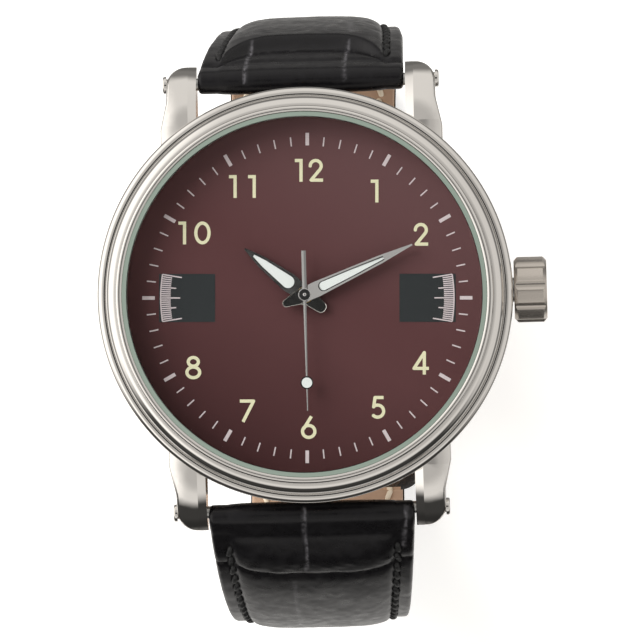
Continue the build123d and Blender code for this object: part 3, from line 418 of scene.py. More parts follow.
materials = {
    "polished_steel": polished("polished_steel", "DEDBD7", 0.06),
    "satin_steel": satin("satin_steel", "BDB6AE", 0.15),
    "plain_steel": brushed("plain_steel", "B4B4B2", 0.32),
    "hand_steel": polished("hand_steel", "DDDDDC", 0.1),
    "crystal_glass": crystal_material(),
    "nylon_gasket": moulded("nylon_gasket", "828F85", 0.35),
    "rubber_seal": moulded("rubber_seal", "1A1A1A", 0.7),
    "dial_lacquer": dial_material(),
    "holder_plastic": moulded("holder_plastic", "D9D6CC", 0.5),
    "movement_brass": brushed("movement_brass", "C9A45C", 0.3),
    "copper_wire": brushed("copper_wire", "B5653A", 0.35),
    "board_green": moulded("board_green", "1F5A3A", 0.45),
    "chip_black": moulded("chip_black", "161616", 0.5),
    "lume_white": moulded("lume_white", "DDE3E0", 0.6, 8.0e-6, 0.0001),
    # The last colour of each leather is the painted highlight of its grooves.
    "black_leather": leather_material("black_leather", "0F0E10", "1A191C", "6A686C", 0.3),
    "tan_leather": leather_material("tan_leather", "A88B75", "B59A80", "8B7563", 0.6),
    "black_thread": thread_material("black_thread", "0E0E0F"),
    "tan_thread": thread_material("tan_thread", "D8CBB6"),
    "print_pale": print_material("print_pale", "CFC4C6"),
    "print_cream": print_material("print_cream", "DEDCB8"),
    "print_panel": moulded("print_panel", "232729", 0.5, 1.0e-6),
}


def dress_nodes():
    """Gives each CAD node the material of its slot in the record, and the crown a satin one."""
    for row in frame["record"]["subparts"]:
        slots = frame["nodes"][row["node"]].data.materials
        slots.clear()
        slots.append(materials["satin_steel" if row["node"] == "crown" else row["material_slot"]])


# Meshes


def outward_mesh(name, points, faces):
    """Mesh from points in mm, with its faces turned outward."""
    mesh = bpy.data.meshes.new(name)
    mesh.from_pydata([Vector(point) * mm for point in points], [], faces)
    solid = bmesh.new()
    solid.from_mesh(mesh)
    bmesh.ops.recalc_face_normals(solid, faces=solid.faces)
    solid.to_mesh(mesh)
    solid.free()
    return mesh


def mesh_piece(name, points, faces, body, slot, material=None):
    """Smooth mesh piece from points in mm, on a body and with a slot's finish or another one."""
    mesh = outward_mesh(name, points, faces)
    mesh.materials.append(materials[material or slot])
    mesh.shade_smooth()
    mesh.set_sharp_from_angle(angle=sharp_angle)
    piece = bpy.data.objects.new(name, mesh)
    bpy.context.scene.collection.objects.link(piece)
    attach(piece, body)
    return piece


def skin(rings, loop=False):
    """Points and faces of a closed skin through rings, whose last ring meets the first in a loop."""
    count = len(rings[0])
    points = [point for ring in rings for point in ring]
    faces = []
    for row in range(len(rings) if loop else len(rings) - 1):
        here, there = row * count, (row + 1) % len(rings) * count
        for at in range(count):
            beside = (at + 1) % count
            faces.append((here + at, here + beside, there + beside, there + at))
    if not loop:
        faces += [tuple(range(count)), tuple(range(len(points) - count, len(points)))]
    return points, faces


def joined(parts):
    """Points and faces of several skins as one."""
    points, faces = [], []
    for more_points, more_faces in parts:
        faces += [tuple(at + len(points) for at in face) for face in more_faces]
        points += more_points
    return points, faces


def carve(piece, parts):
    """Cuts closed skins out of a piece."""
    points, faces = joined(parts)
    mesh = outward_mesh("cutter", points, faces)
    cutter = bpy.data.objects.new("cutter", mesh)
    bpy.context.scene.collection.objects.link(cutter)
    cut = piece.modifiers.new("cut", "BOOLEAN")
    cut.object = cutter
    cut.operation = "DIFFERENCE"
    cut.solver = "EXACT"
    bpy.context.view_layer.update()
    shape = piece.evaluated_get(bpy.context.evaluated_depsgraph_get())
    result = bpy.data.meshes.new_from_object(shape)
    result.name = piece.name
    piece.modifiers.clear()
    piece.data = result
    bpy.data.objects.remove(cutter)
    bpy.data.meshes.remove(mesh)


def prism(matrix, outline):
    """Closed skin of an outline at both ends of a cutter's reach, carried by a matrix."""
    return skin([[matrix @ Vector((x, y, z)) for x, y in outline] for z in (-cut_reach, cut_reach)])


def polygon(radius, sides, x=0.0, y=0.0):
    """Points round a circle."""
    turns = [2 * pi * at / sides for at in range(sides)]
    return [(x + radius * cos(turn), y + radius * sin(turn)) for turn in turns]


def lathe(profile, sides, loop=False):
    """Closed skin turned round the axis from a profile of radii and heights off it, open or a loop."""
    return skin([[(x, y, z) for x, y in polygon(radius, sides)] for radius, z in profile], loop)


# Strap


def between(table, place):
    """Value at a place, in a table of places and values with straight lines between them."""
    for (start, low), (end, high) in zip(table, table[1:]):
        if place <= end:
            return low + (high - low) * max(0, place - start) / (end - start)
    return table[-1][1]


def smooth(value, start, end):
    """0 before start, 1 after end and a smooth rise between them."""
    share = min(1, max(0, (value - start) / (end - start)))
    return share * share * (3 - 2 * share)


def dent(distance, width):
    """Share of a groove's depth at a distance from its line."""
    return exp(-(distance / width) ** 2)


def wave(*place):
    """Smooth noise from -1 to 1."""
    return noise.noise(Vector(place))


class StrapLine:
    """Course of a strap half: tangent arcs and straight runs, outward from the lug bar, with the
    leather's slack outward and its sway to the side by place."""

    def __init__(self, side, drop, runs, slack, sway):
        self.side = side
        self.slack = slack
        self.sway = sway
        self.legs = []
        place, u, z, heading = 0, bar_place, bar_height, drop
        for radius, turn, straight in runs:
            length = straight or radius * radians(turn)
            self.legs.append((place, length, u, z, heading, radius, turn))
            u, z, heading = self.moved(self.legs[-1], length)
            place += length
        self.length = place

    @staticmethod
    def moved(leg, travelled):
        """Place and heading after part of a leg; a heading of 90 points down."""
        _, length, u, z, heading, radius, turn = leg
        if not radius:
            return u + travelled * cos(radians(heading)), z - travelled * sin(radians(heading)), heading
        end = heading + turn * travelled / length
        u += radius * (sin(radians(end)) - sin(radians(heading)))
        z += radius * (cos(radians(end)) - cos(radians(heading)))
        return u, z, end

    def point(self, place, across, height):
        """Point over the line; places past either end go round the bar there."""
        held = min(max(place, 0), self.length)
        leg = [each for each in self.legs if each[0] <= held][-1]
        u, z, heading = self.moved(leg, held - leg[0])
        way = radians(heading) + (place - held) / leather
        out = u + between(self.slack, held) + sin(way) * height
        return Vector((across + between(self.sway, held), self.side * out, z + cos(way) * height))

    def matrix(self, place):
        """Matrix at a place: x across, y along the strap and z outward."""
        origin = self.point(place, 0, 0)
        out = self.point(place, 0, 1) - origin
        across = Vector((1, 0, 0))
        turn = Matrix((across, out.cross(across), out)).transposed().to_4x4()
        return Matrix.Translation(origin) @ turn


class Half:
    """A strap half: its line, outline, pad, grooves between scales, and the surfaces that they give."""

    def __init__(self, line, widths, tip, pads, lip, bow, rise, creases, near_rows, seed, first_row):
        self.line = line
        self.widths = widths
        self.tip = tip
        self.pads = pads
        self.lip = lip
        self.bow = bow
        self.rise = rise
        self.creases = creases
        self.rows = near_rows + self.scales(seed, first_row)
        self.start = -wrap_turn * leather
        self.end = line.length if tip else line.length - self.start

    def scales(self, seed, place):
        """Rows of scales: where each starts, its slant, wander and bow, and the grooves along it."""
        draw = random.Random(seed)
        rows = []
        while place < self.line.length - 4:
            along = [draw.uniform(-0.75, -0.3), draw.uniform(-0.15, 0.25), draw.uniform(0.4, 0.8)]
            draw.shuffle(along)
            bend = (draw.uniform(-0.5, 0.5), draw.uniform(0, 50), 0.5)
            rows.append((place, *bend, along[:draw.randint(1, 2)]))
            place += draw.uniform(4.4, 7.0)
        return rows

    def half(self, place):
        """Half of the width."""
        width = between(self.widths, place)
        if self.tip:
            past = max(0, place - self.line.length + tip_length) / tip_length
            width -= (buckle_width - tip_width) * past ** 2
        return width / 2

    def pad(self, place, inside):
        """Height of the pad over the margins."""
        if inside >= 1:
            return 0
        lip = self.lip - self.bow * inside ** 4
        grown = smooth(place, lip - self.rise, lip + self.rise)
        fill = between(self.pads, place) * grown + pad_ends * (1 - grown)
        return fill * sqrt(1 - inside ** 4)

    def face(self, place, share):
        """Height of the leather's outer face at a share of the half width."""
        half = self.half(place)
        across = share * half
        shoulder = half - margin
        inside = abs(across) / shoulder
        height = leather + self.pad(place, inside)
        from_edge = half - abs(across)
        if self.tip:
            from_edge = min(from_edge, self.line.length - place)
        if from_edge < edge_round:
            height -= edge_round - sqrt(edge_round ** 2 - (edge_round - from_edge) ** 2)
        if place > detail_start:
            channel = dent(abs(across) - shoulder - stitch_out, 0.3) * smooth(place, 1, 4)
            height -= stitch_dip * channel + self.grooves(place, across, inside, shoulder)[0]
        return height + self.grain(place, across)

    def grooves(self, place, across, inside, shoulder):
        """Depth of the grooves between the scales, and how strongly a painted highlight makes the ones
        along the strap paler.
        """
        wander = groove_wander * wave(across * 0.5, place * 0.3, self.lip)
        depth = bar_groove_depth * dent(place - 1.6, 0.5)
        # Painted highlight: how much paler the creases and the grooves along the strap are painted,
        # standing in for light caught by their edges.
        painted_highlight = 0
        for at, lean, low, high, deep, wide in self.creases:
            ends = smooth(place, low - 0.6, low) * (1 - smooth(place, high, high + 0.6))
            groove = ends * dent(across - at - lean * (place - low) + wander, wide)
            depth = max(depth, deep * groove)
            painted_highlight = max(painted_highlight, groove * min(1, deep / highlight_full_depth))
        for number, (start, slant, offset, bow, along) in enumerate(self.rows):
            if not start - 5 < place < start + 9:
                continue
            bend = slant * across / 8 + 0.35 * wave(across * 0.35, offset, 0)
            gap = place - start - bend + bow * min(1, inside) ** 4
            slope = row_slope_depth * dent(gap, row_slope_width)
            depth = max(depth, row_depth * dent(gap, row_width), slope)
            last = number + 1 == len(self.rows)
            end = self.line.length if last else self.rows[number + 1][0]
            if start < place < end and inside < 1:
                ends = smooth(place, start, start + 0.6) * (1 - smooth(place, end - 0.6, end))
                for share in along:
                    groove = ends * dent(across - share * shoulder - 2 * wander, along_width)
                    depth = max(depth, along_depth * groove)
                    painted_highlight = max(painted_highlight, 0.8 * groove)
        return depth, painted_highlight

    def grain(self, place, across):
        """Fine unevenness of the leather, with wrinkles after the lip."""
        fine = fine_grain * wave(across * 1.6, place * 1.1, 3)
        soft = soft_grain * wave(across * 0.3, place * 0.45, 8)
        wrinkle = wrinkle_depth * dent(place - self.lip - 2.3, 1.3)
        return fine + soft + wrinkle * abs(wave(across * 0.7, place * 1.5, 5))

    def under(self, place):
        """Height of the leather's inner face, which goes over the bars."""
        if place < bar_hole:
            return sqrt(bar_hole ** 2 - max(0, place) ** 2)
        to_end = self.line.length - place
        if not self.tip and to_end < buckle_hole:
            return sqrt(buckle_hole ** 2 - max(0, to_end) ** 2)
        return 0

    def lining_face(self, place, share):
        """Height of the lining's inner face, as a depth under the line."""
        half = self.half(place) - lining_inset
        from_edge = min(half * (1 - abs(share)), lining_round)
        dip = lining_round - sqrt(lining_round ** 2 - (lining_round - from_edge) ** 2)
        stitched = 0.1 * dent(abs(share * half) - half + margin - stitch_out - lining_inset, 0.25)
        return -lining + dip + stitched + 0.02 * wave(share * 9, place * 0.6, 2)

    def places(self, start, end):
        """Places along the half, a step apart."""
        steps = round((end - start) / strap_step)
        return [start + (end - start) * at / steps for at in range(steps + 1)]

    def skin(self, start, end, inset, face, back):
        """Closed skin with a detailed face and a plain back."""
        rings = []
        for place in self.places(start, end):
            half = self.half(place) - inset
            ring = [self.line.point(place, share * half, face(place, share)) for share in face_shares]
            rings.append(ring + [self.line.point(place, side * half, back(place)) for side in (1, -1)])
        return skin(rings)

    def paint_groove_highlight(self, piece):
        """Marks at each point of the leather how strongly a painted highlight makes it paler."""
        marks = piece.data.attributes.new("groove", "FLOAT", "POINT")
        number = 0
        for place in self.places(self.start, self.end):
            half = self.half(place)
            for share in face_shares:
                across = share * half
                if place > detail_start:
                    inside = abs(across) / (half - margin)
                    marks.data[number].value = self.grooves(place, across, inside, half - margin)[1]
                number += 1
            number += 2

    def stitches(self, last, face, sign, seed):
        """Closed skins of the stitches in both rows; sign is 1 on the leather and -1 on the lining."""
        draw = random.Random(seed)
        parts = []
        for side in (-1, 1):
            for number in range(int((last - stitch_start) / stitch_pitch)):
                place = stitch_start + number * stitch_pitch + draw.uniform(-0.1, 0.1)
                slant = stitch_slant + draw.uniform(-0.08, 0.08)
                rings = []
                for share in (0, 0.08, 0.22, 0.4, 0.6, 0.78, 0.92, 1):
                    at = place + share * stitch_length
                    across = side * (self.half(at) - margin + stitch_out + slant * (2 * share - 1))
                    bow = 1 - abs(2 * share - 1) ** 4
                    lift = face(at, across / self.half(at)) + sign * stitch_radius * (1.1 * bow - 0.7)
                    radius = stitch_radius * (0.55 + 0.45 * bow)
                    rings.append([self.line.point(at, across + dx, lift + dz)
                                  for dx, dz in polygon(radius, 10)])
                parts.append(skin(rings))
        return joined(parts)


short_line = StrapLine(
    1, 67.2, [(61.4, 22.8, 0), (18, 90, 0), (0, 0, 16)],
    slack=[(0, 0.2), (7, 0.5), (24, 0.5), (40, 0)], sway=[(0, 0), (12, 0.5), (24, 0.5), (40, 0)],
)
long_line = StrapLine(
    -1, 44.8, [(33.5, 45.2, 0), (45, 32, 0), (18, 58, 0), (0, 0, 26), (30, 20, 0)],
    slack=[(0, 0.45), (4, 0.45), (14, 0.15), (24, 0.15), (40, 0)], sway=[(0, 0), (40, 0)],
)
short_apex = short_line.legs[1][0]
long_apex = long_line.legs[1][0]
long_narrow = long_line.legs[2][0]
short_half = Half(
    short_line,
    widths=[(0, bar_width), (short_apex, apex_width), (short_line.length, buckle_width)],
    tip=False,
    pads=[(0, pad_12), (short_apex, pad_12), (pad_fade_12, pad_ends)],
    lip=5.9, bow=3.9, rise=0.7,
    creases=[(-5.4, 0.06, -1.5, 5.2, 0.14, 0.12), (4.2, 0.02, -1.5, 5.2, 0.14, 0.12),
             (4.6, -0.12, 7.5, 13.0, 0.05, 0.3)],
    near_rows=[(4.9, 0.0, 4.0, 3.6, [])], seed=12, first_row=25.0,
)
long_half = Half(
    long_line,
    widths=[(0, bar_width), (long_apex, apex_width), (long_narrow, buckle_width)],
    tip=True,
    pads=[(0, pad_6), (long_apex, pad_6), (pad_fade_6, pad_ends)],
    lip=3.2, bow=1.4, rise=1.8,
    creases=[(-0.8, 0.0, -1.5, 6.0, 0.13, 0.12), (9.0, -0.03, -1.5, 3.4, 0.13, 0.12),
             (-2.0, 0.0, 8.4, 22.0, 0.06, 0.12)],
    near_rows=[(6.9, 0.0, 9.0, 1.2, [])], seed=6, first_row=26.5,
)


def hole_cutters():
    """Cutters of the holes in the long half."""
    places = [long_line.length - hole_from_tip - hole_pitch * number for number in range(hole_count)]
    return [prism(long_line.matrix(place), polygon(hole_radius, 32)) for place in places]


def slot_cutter():
    """Cutter of the tongue's slot in the short half."""
    outline = [(-slot_half, -slot_length), (slot_half, -slot_length),
               (slot_half, cut_reach), (-slot_half, cut_reach)]
    return [prism(short_line.matrix(short_line.length), outline)]


def strap():
    """Leather, lining and stitches of both halves."""
    for half, number, body, cutters in (
        (short_half, 12, "short_strap", slot_cutter()), (long_half, 6, "long_strap", hole_cutters())
    ):
        length = half.line.length
        black = half.skin(half.start, half.end, 0, half.face, half.under)
        upper = mesh_piece(f"upper_{number}", *black, body, "black_leather")
        # Painted highlight along the grooves, kept on each point for the leather's material
        half.paint_groove_highlight(upper)
        lining_end = length if half.tip else length - leather
        tan = half.skin(leather, lining_end, lining_inset, half.lining_face, lambda place: 0)
        inner = mesh_piece(f"lining_{number}", *tan, body, "tan_leather")
        carve(upper, cutters)
        carve(inner, cutters)
        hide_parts(f"strap_{number}_leather")
        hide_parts(f"strap_{number}_lining")
        last = length - (tip_length if half.tip else stitch_end_gap)
        outer_thread = half.stitches(last, half.face, 1, number)
        inner_thread = half.stitches(last, half.lining_face, -1, number + 1)
        mesh_piece(f"stitches_{number}", *outer_thread, body, "black_leather", "black_thread")
        mesh_piece(f"lining_stitches_{number}", *inner_thread, body, "tan_leather", "tan_thread")


def keeper(name, body, from_end, gap, node):
    """Leather loop with rounded edges round the short half."""
    middle = short_line.length - from_end
    inner = short_half.half(middle - keeper_width / 2) + keeper_gap
    low = -lining - gap
    high = leather + keeper_room
    corners = [(inner - keeper_round, high - keeper_round), (keeper_round - inner, high - keeper_round),
               (keeper_round - inner, low + keeper_round), (inner - keeper_round, low + keeper_round)]
    matrix = short_line.matrix(middle)
    section = [(along, keeper_round + out) for along, out in keeper_section()]
    rings = []
    for quarter, (x, z) in enumerate(corners):
        for at in range(9):
            turn = pi / 2 * (quarter + at / 8)
            rings.append([matrix @ Vector((x + cos(turn) * reach, along, z + sin(turn) * reach))
                          for along, reach in section])
    piece = mesh_piece(name, *skin(rings, loop=True), body, "black_leather")
    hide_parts(node)


def keeper_section():
    """Section of a keeper's band: along the strap, and outward from its inner face."""
    side, top = keeper_width / 2 - keeper_edge, keeper_wall - keeper_edge
    middles = [(side, top), (-side, top), (-side, keeper_edge), (side, keeper_edge)]
    section = []
    for quarter, (along, out) in enumerate(middles):
        for at in range(5):
            turn = pi / 2 * (quarter + at / 4)
            section.append((along + keeper_edge * cos(turn), out + keeper_edge * sin(turn)))
    return section


# Dial print


def stroke(points, width):
    """Outlines of a line of some width: a bar for each run and a disc at each bend."""
    shapes = []
    for (x0, y0), (x1, y1) in zip(points, points[1:]):
        way = Vector((x1 - x0, y1 - y0)).normalized() * width / 2
        shapes.append([(x0 + way.y, y0 - way.x), (x1 + way.y, y1 - way.x),
                       (x1 - way.y, y1 + way.x), (x0 - way.y, y0 + way.x)])
    return shapes + [polygon(width / 2, 16, x, y) for x, y in points[1:-1]]


def arc(x, y, radius, start, end, tall=1.0, steps=28):
    """Points along an arc, which tall stretches upward."""
    turns = [radians(start + (end - start) * at / steps) for at in range(steps + 1)]
    return [(x + radius * cos(turn), y + radius * tall * sin(turn)) for turn in turns]


def plate(name, shapes, low, high, slot, material):
    """Flat piece of print: the union of outlines, between two heights, at the print's place and turn."""
    points, polygons = [], []
    for shape in shapes:
        polygons.append(list(range(len(points), len(points) + len(shape))))
        points += [Vector(point) for point in shape]
    points, _, triangles, _, _, sources = delaunay_2d_cdt(points, [], polygons, 1, 1e-6)
    triangles = [triangle for triangle, source in zip(triangles, sources) if source]
    turn = Matrix.Rotation(print_turn, 2)
    points = [turn @ point + Vector((print_right, -print_down)) for point in points]
    edges = {}
    for triangle in triangles:
        edges.update(dict.fromkeys(zip(triangle, triangle[1:] + triangle[:1])))
    count = len(points)
    faces = [tuple(reversed(triangle)) for triangle in triangles]
    faces += [tuple(at + count for at in triangle) for triangle in triangles]
    rim = [(start, end) for start, end in edges if (end, start) not in edges]
    faces += [(start, end, end + count, start + count) for start, end in rim]
    solid = [(point.x, point.y, height) for height in (low, high) for point in points]
    mesh_piece(name, solid, faces, "root", slot, material)


def digit(number):
    """Centre lines of a digit one unit high, and its width."""
    edge = numeral_stroke / numeral_height / 2
    low, high = edge, 1 - edge
    forms = {
        "0": (0.72, [arc(0.36, 0.5, 0.36 - edge, 0, 360, (0.5 - edge) / (0.36 - edge), 48)]),
        "1": (0.36, [[(0.02, high), (0.36 - edge, high)], [(0.36 - edge, 0), (0.36 - edge, 1)]]),
        "2": (0.62, [arc(0.3, 0.69, 0.31 - edge, 188, -38) + [(0.1, low), (0.62, low)]]),
        "4": (0.72, [[(0.52, 0), (0.52, 0.96), (0.07, 0.27), (0.72, 0.27)]]),
        "5": (0.66, [[(0.57, high), (0.2, high), (0.14, 0.52)]
                     + arc(0.31, 0.335, 0.335 - edge, 118, -142)]),
        "6": (0.68, [arc(0.34, 0.32, 0.34 - edge, 0, 360, 0.97, 40), [(0.115, 0.43), (0.46, 0.98)]]),
        "7": (0.68, [[(0.0, high), (0.6, high), (0.14, 0.02)]]),
        "8": (0.7, [arc(0.35, 0.75, 0.29 - edge, 0, 360, 0.86, 40),
                    arc(0.35, 0.29, 0.35 - edge, 0, 360, 0.83, 40)]),
    }
    return forms[number]


def numeral(text, x, y, gap):
    """Outlines of a number whose middle is at a place on the dial."""
    shapes = []
    widths = [digit(letter)[0] * numeral_height for letter in text]
    left = x - (sum(widths) + gap * (len(text) - 1)) / 2
    for letter, width in zip(text, widths):
        for line in digit(letter)[1]:
            placed = [(left + px * numeral_height, y + (py - 0.5) * numeral_height) for px, py in line]
            shapes += stroke(placed, numeral_stroke)
        left += width + gap
    return shapes


def spoke(turn, inner, outer, width):
    """Outline of a mark along a radius; a turn of 0 points to 3 o'clock."""
    way = (cos(turn), sin(turn))
    return stroke([(way[0] * inner, way[1] * inner), (way[0] * outer, way[1] * outer)], width)[0]


def minute_track():
    """Marks of the minutes, wider and longer at the hours."""
    shapes = []
    for minute in range(60):
        turn = 2 * pi * minute / 60
        if minute % 5:
            shapes.append(spoke(turn, tick_inner, tick_outer, tick_width))
        else:
            shapes.append(spoke(turn, bar_inner, bar_outer, bar_print_width))
    plate("print_minutes", shapes, dial_face, dial_face + print_thickness, "dial_lacquer", "print_pale")


def numerals():
    """The plain numbers of the hours but 3 and 9, each at its place in the photograph."""
    places = [("12", 0.14, 12.28, 0.6), ("1", 6.46, 10.28, 0), ("2", 10.95, 6.11, 0),
              ("4", 10.91, -6.28, 0), ("5", 6.81, -10.53, 0), ("6", 0.14, -12.45, 0),
              ("7", -5.74, -10.87, 0), ("8", -10.97, -6.7, 0), ("10", -10.88, 6.26, 0.78),
              ("11", -6.27, 10.73, 1.05)]
    shapes = []
    for text, x, y, gap in places:
        shapes += numeral(text, x, y, gap)
    plate("print_numerals", shapes, dial_face, dial_face + print_thickness, "lume_white", "print_cream")


def panels():
    """Two dark panels at 3 and 9 o'clock, each with an arc scale."""
    boxes, lines = [], []
    marks = range(-scale_marks, scale_marks + 1)
    for side in (-1, 1):
        left, right = sorted((side * panel_inner, side * panel_outer))
        boxes.append([(left, -panel_half), (right, -panel_half),
                      (right, panel_half), (left, panel_half)])
        turns = [side * scale_half_turn * at / scale_marks for at in marks]
        middle = 0 if side > 0 else pi
        rim = [(scale_radius * cos(middle + turn), scale_radius * sin(middle + turn)) for turn in turns]
        lines += stroke(rim, scale_line)
        for at, turn in zip(marks, turns):
            length = scale_short
            if abs(at) in (0, scale_marks):
                length = scale_long
            elif abs(at) == 5:
                length = scale_medium
            lines.append(spoke(middle + turn, scale_radius - length, scale_radius, scale_line))
    high = dial_face + print_thickness
    plate("print_panels", boxes, dial_face, high, "dial_lacquer", "print_panel")
    plate("print_scales", lines, high, high + print_thickness, "dial_lacquer", "print_pale")


# Bezel


def through(first, middle, last, steps=18):
    """Points along the arc through three points."""
    (ax, ay), (bx, by), (cx, cy) = first, middle, last
    twice = 2 * ((bx - ax) * (cy - ay) - (by - ay) * (cx - ax))
    b_span = (bx - ax) ** 2 + (by - ay) ** 2
    c_span = (cx - ax) ** 2 + (cy - ay) ** 2
    x = ax + ((cy - ay) * b_span - (by - ay) * c_span) / twice
    y = ay + ((bx - ax) * c_span - (cx - ax) * b_span) / twice
    start = atan2(ay - y, ax - x)
    turn = (atan2(cy - y, cx - x) - start + pi) % (2 * pi) - pi
    radius = sqrt((ax - x) ** 2 + (ay - y) ** 2)
    turns = [start + turn * at / steps for at in range(steps + 1)]
    return [(x + radius * cos(way), y + radius * sin(way)) for way in turns]


def bezel():
    """The stepped ring in the CAD model's shape, turned finely enough for even reflections."""
    foot = case_top + bezel_foot
    inner_crest = ((bezel_well + bezel_step_2) / 2, bezel_top)
    inner = through((bezel_well, bezel_top - bezel_bulge), inner_crest,
                    (bezel_step_2, bezel_ring_2 + bezel_groove))
    middle_crest = ((bezel_step_2 + bezel_step_1) / 2,
                    (bezel_ring_2 + bezel_ring_1) / 2 + 2 * bezel_bulge)
    middle = through((bezel_step_2, bezel_ring_2), middle_crest, (bezel_step_1, bezel_ring_1))
    low = bezel_ring_1 - bezel_groove
    outer = through((bezel_step_1, low), (bezel_step_1 + bezel_shoulder, low), (case_radius, foot))
    profile = [(case_radius, case_top), (bezel_seat_radius, case_top), (bezel_seat_radius, bezel_seat),
               (bezel_well, bezel_seat), *inner, *middle, *outer]
    piece = mesh_piece("bezel_ring", *lathe(profile, bezel_sides, loop=True), "root", "polished_steel")
    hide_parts("bezel")


# Hub of the hands


def hub():
    """Black disc between a bright rim and a domed steel pin, over the seconds hand's hub."""
    disc_top = hub_top + hub_disc_thickness
    disc = [(hub_bore, hub_top), (hub_disc, hub_top), (hub_disc, disc_top), (hub_bore, disc_top)]
    bead = [(hub_disc + bead_radius + bead_radius * cos(pi * at / 8),
             hub_top + bead_radius * sin(pi * at / 8)) for at in range(9)]
    dome = [(pin_dome_radius * cos(pi / 2 * at / 8) + pin_eye,
             hub_top + pin_dome_foot + pin_dome_height * sin(pi / 2 * at / 8)) for at in range(9)]
    pin = [(hub_bore, hub_top), (pin_dome_radius + pin_eye, hub_top), *dome,
           (pin_eye, hub_top + pin_eye_height)]
    mesh_piece("hub_disc", *lathe(disc, 48, loop=True), "seconds", "chip_black")
    mesh_piece("hub_rim", *lathe(bead, 48, loop=True), "seconds", "hand_steel")
    mesh_piece("hub_pin", *lathe(pin, 32), "seconds", "hand_steel")


# Dark joints round the luminous inlays, whose outlines are those of the CAD model


def lume_rim(name, body, angle, base, hand, inlay):
    """Thin dark bead along the edge of a hand's inlay, on the hand's facets."""
    width, edge, ridge = hand
    start, end, half, belly, belly_half, tip_half = inlay
    middle = start + half
    side = [(half, middle), (belly_half, belly), (tip_half, end)]
    outline = arc(0, middle, half, 180, 360, steps=16) + side[1:]
    outline += [(-x, y) for x, y in reversed(side[1:])]
    turn = Matrix.Rotation(-angle, 2)
    rings = []
    for at, (x, y) in enumerate(outline):
        (px, py), (nx, ny) = outline[at - 1], outline[(at + 1) % len(outline)]
        out = Vector((ny - py, px - nx)).normalized()
        height = base + ridge - (ridge - edge) * abs(x) / (width / 2)
        ring = []
        for dx, dz in polygon(1, 8):
            place = turn @ (Vector((x, y)) + out * dx * joint_half)
            ring.append((place.x, place.y, height + dz * joint_rise))
        rings.append(ring)
    mesh_piece(name, *skin(rings, loop=True), body, "chip_black")


def lume_rims():
    """Joints of both inlays."""
    lume_rim("hour_lume_joint", "hours", hour_angle, hour_base, hour_front, hour_inlay)
    lume_rim("minute_lume_joint", "minutes", minute_angle, minute_base, minute_front, minute_inlay)


# Scene


def photo_camera():
    """Camera at the photograph's viewing angle, far enough to look nearly parallel."""
    back = Vector((sin(camera_right_tilt), -sin(camera_down_tilt), 1)).normalized()
    up = Vector((sin(camera_roll), cos(camera_roll), 0))
    right = up.cross(back).normalized()
    up = back.cross(right)
    target = bezel_middle + aim_right * right - aim_down * up
    data = bpy.data.cameras.new("photo_camera")
    data.sensor_width = sensor_width
    data.lens = sensor_width * camera_distance / view_width
    data.clip_start = camera_distance / 10
    data.clip_end = camera_distance * 10
    camera = bpy.data.objects.new("photo_camera", data)
    turn = Matrix((right, up, back)).transposed().to_4x4()
    camera.matrix_world = Matrix.Translation(target + camera_distance * back) @ turn
    bpy.context.scene.collection.objects.link(camera)
    bpy.context.scene.camera = camera


def floor():
    """White floor under the lowest point, evenly lit, that mirrors don't show."""
    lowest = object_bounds()[0][2]
    mesh = bpy.data.meshes.new("floor")
    corners = [(x * floor_half, y * floor_half, lowest) for x, y in ((-1, -1), (1, -1), (1, 1), (-1, 1))]
    mesh.from_pydata(corners, [], [(0, 1, 2, 3)])
    plane = bpy.data.objects.new("floor", mesh)
    bpy.context.scene.collection.objects.link(plane)
    paper = moulded("floor_paper", "F4F4F2", 0.9, 1.0e-5, 0.002)
    paper.node_tree.nodes["Principled BSDF"].inputs["Emission Strength"].default_value = floor_glow
    mesh.materials.append(paper)
    plane.visible_glossy = False
    plane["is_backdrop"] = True


def lamp():
    """Large soft light from the upper left that mirrors don't show."""
    data = bpy.data.lights.new("left_softbox", "AREA")
    data.size = lamp_size
    data.energy = lamp_power
    light = bpy.data.objects.new("left_softbox", data)
    light.visible_glossy = False
    turn = lamp_place.to_track_quat("Z", "Y").to_matrix().to_4x4()
    light.matrix_world = Matrix.Translation(lamp_place) @ turn
    bpy.context.scene.collection.objects.link(light)


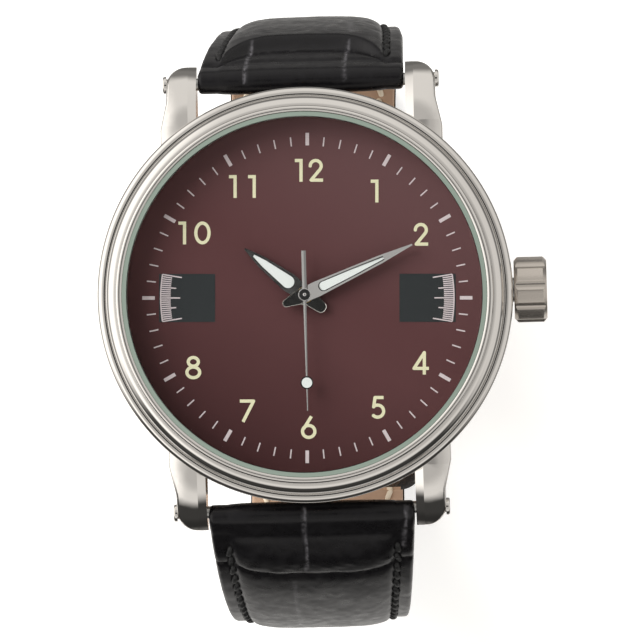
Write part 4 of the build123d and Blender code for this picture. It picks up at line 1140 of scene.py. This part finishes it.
def surroundings():
    """Pale room that metal and glass mirror: brighter on the left and dimmer high up, with a dark round
    overhead, a dark patch beside it on the right, a dark card low on the 6 o'clock side, and ground that
    is dark but right below and to its 6 o'clock side."""
    world = bpy.data.worlds.new("studio")
    world.use_nodes = True
    nodes = Nodes(world.node_tree, "Generated")
    split = nodes.node("ShaderNodeSeparateXYZ", Vector=nodes.coordinates).outputs
    x, y, z = split["X"], split["Y"], split["Z"]

    def rise(value, start, end, low=0.0, high=1.0):
        return nodes.ramp(value, low, high, start, end, "SMOOTHSTEP")

    def product(*values):
        total = values[0]
        for value in values[1:]:
            total = nodes.maths("MULTIPLY", total, value)
        return total

    across = nodes.maths("MULTIPLY", y, y)
    patch = product(rise(x, 0.16, 0.26), rise(x, 0.55, 0.35), rise(across, 0.09, 0.02),
                    rise(z, 0.0, 0.3))
    card = product(rise(z, 0.5, 0.25), rise(y, -0.2, -0.6), rise(z, -0.6, -0.4),
                   rise(x, 0.95, 0.65))
    ground = product(rise(z, -0.05, -0.3), rise(z, -0.7, -0.5))
    under = product(rise(z, -0.4, -0.6), rise(y, 0.1, 0.4))
    sides = nodes.maths("ADD", rise(x, -0.3, -0.8, 0.0, left_gain),
                        rise(x, 0.3, 0.8, room_level, room_level - right_loss))
    overhead = rise(z, cos(round_turn + round_fade), cos(round_turn - round_fade), 1.0, 0.0)
    level = product(sides, overhead, rise(z, 0.6, 0.85, 1.0, high_level))
    for share, depth in ((patch, 0.45), (card, 0.97), (ground, 0.75), (under, 0.6)):
        level = nodes.maths("MULTIPLY", level, nodes.ramp(share, 1.0, 1.0 - depth))
    background = world.node_tree.nodes["Background"]
    background.inputs["Color"].default_value = srgb("F7F4F0")
    world.node_tree.links.new(nodes.maths("ADD", level, dark_level), background.inputs["Strength"])
    bpy.context.scene.world = world
    bpy.context.scene.view_settings.view_transform = "Standard"


dress_nodes()
strap()
keeper("keeper_fixed", "short_strap", fixed_keeper_place, 0, "fixed_keeper")
keeper("keeper_sliding", "keeper", sliding_keeper_place, sliding_gap, "sliding_keeper")
minute_track()
numerals()
panels()
bezel()
hub()
lume_rims()
floor()
surroundings()
lamp()
photo_camera()
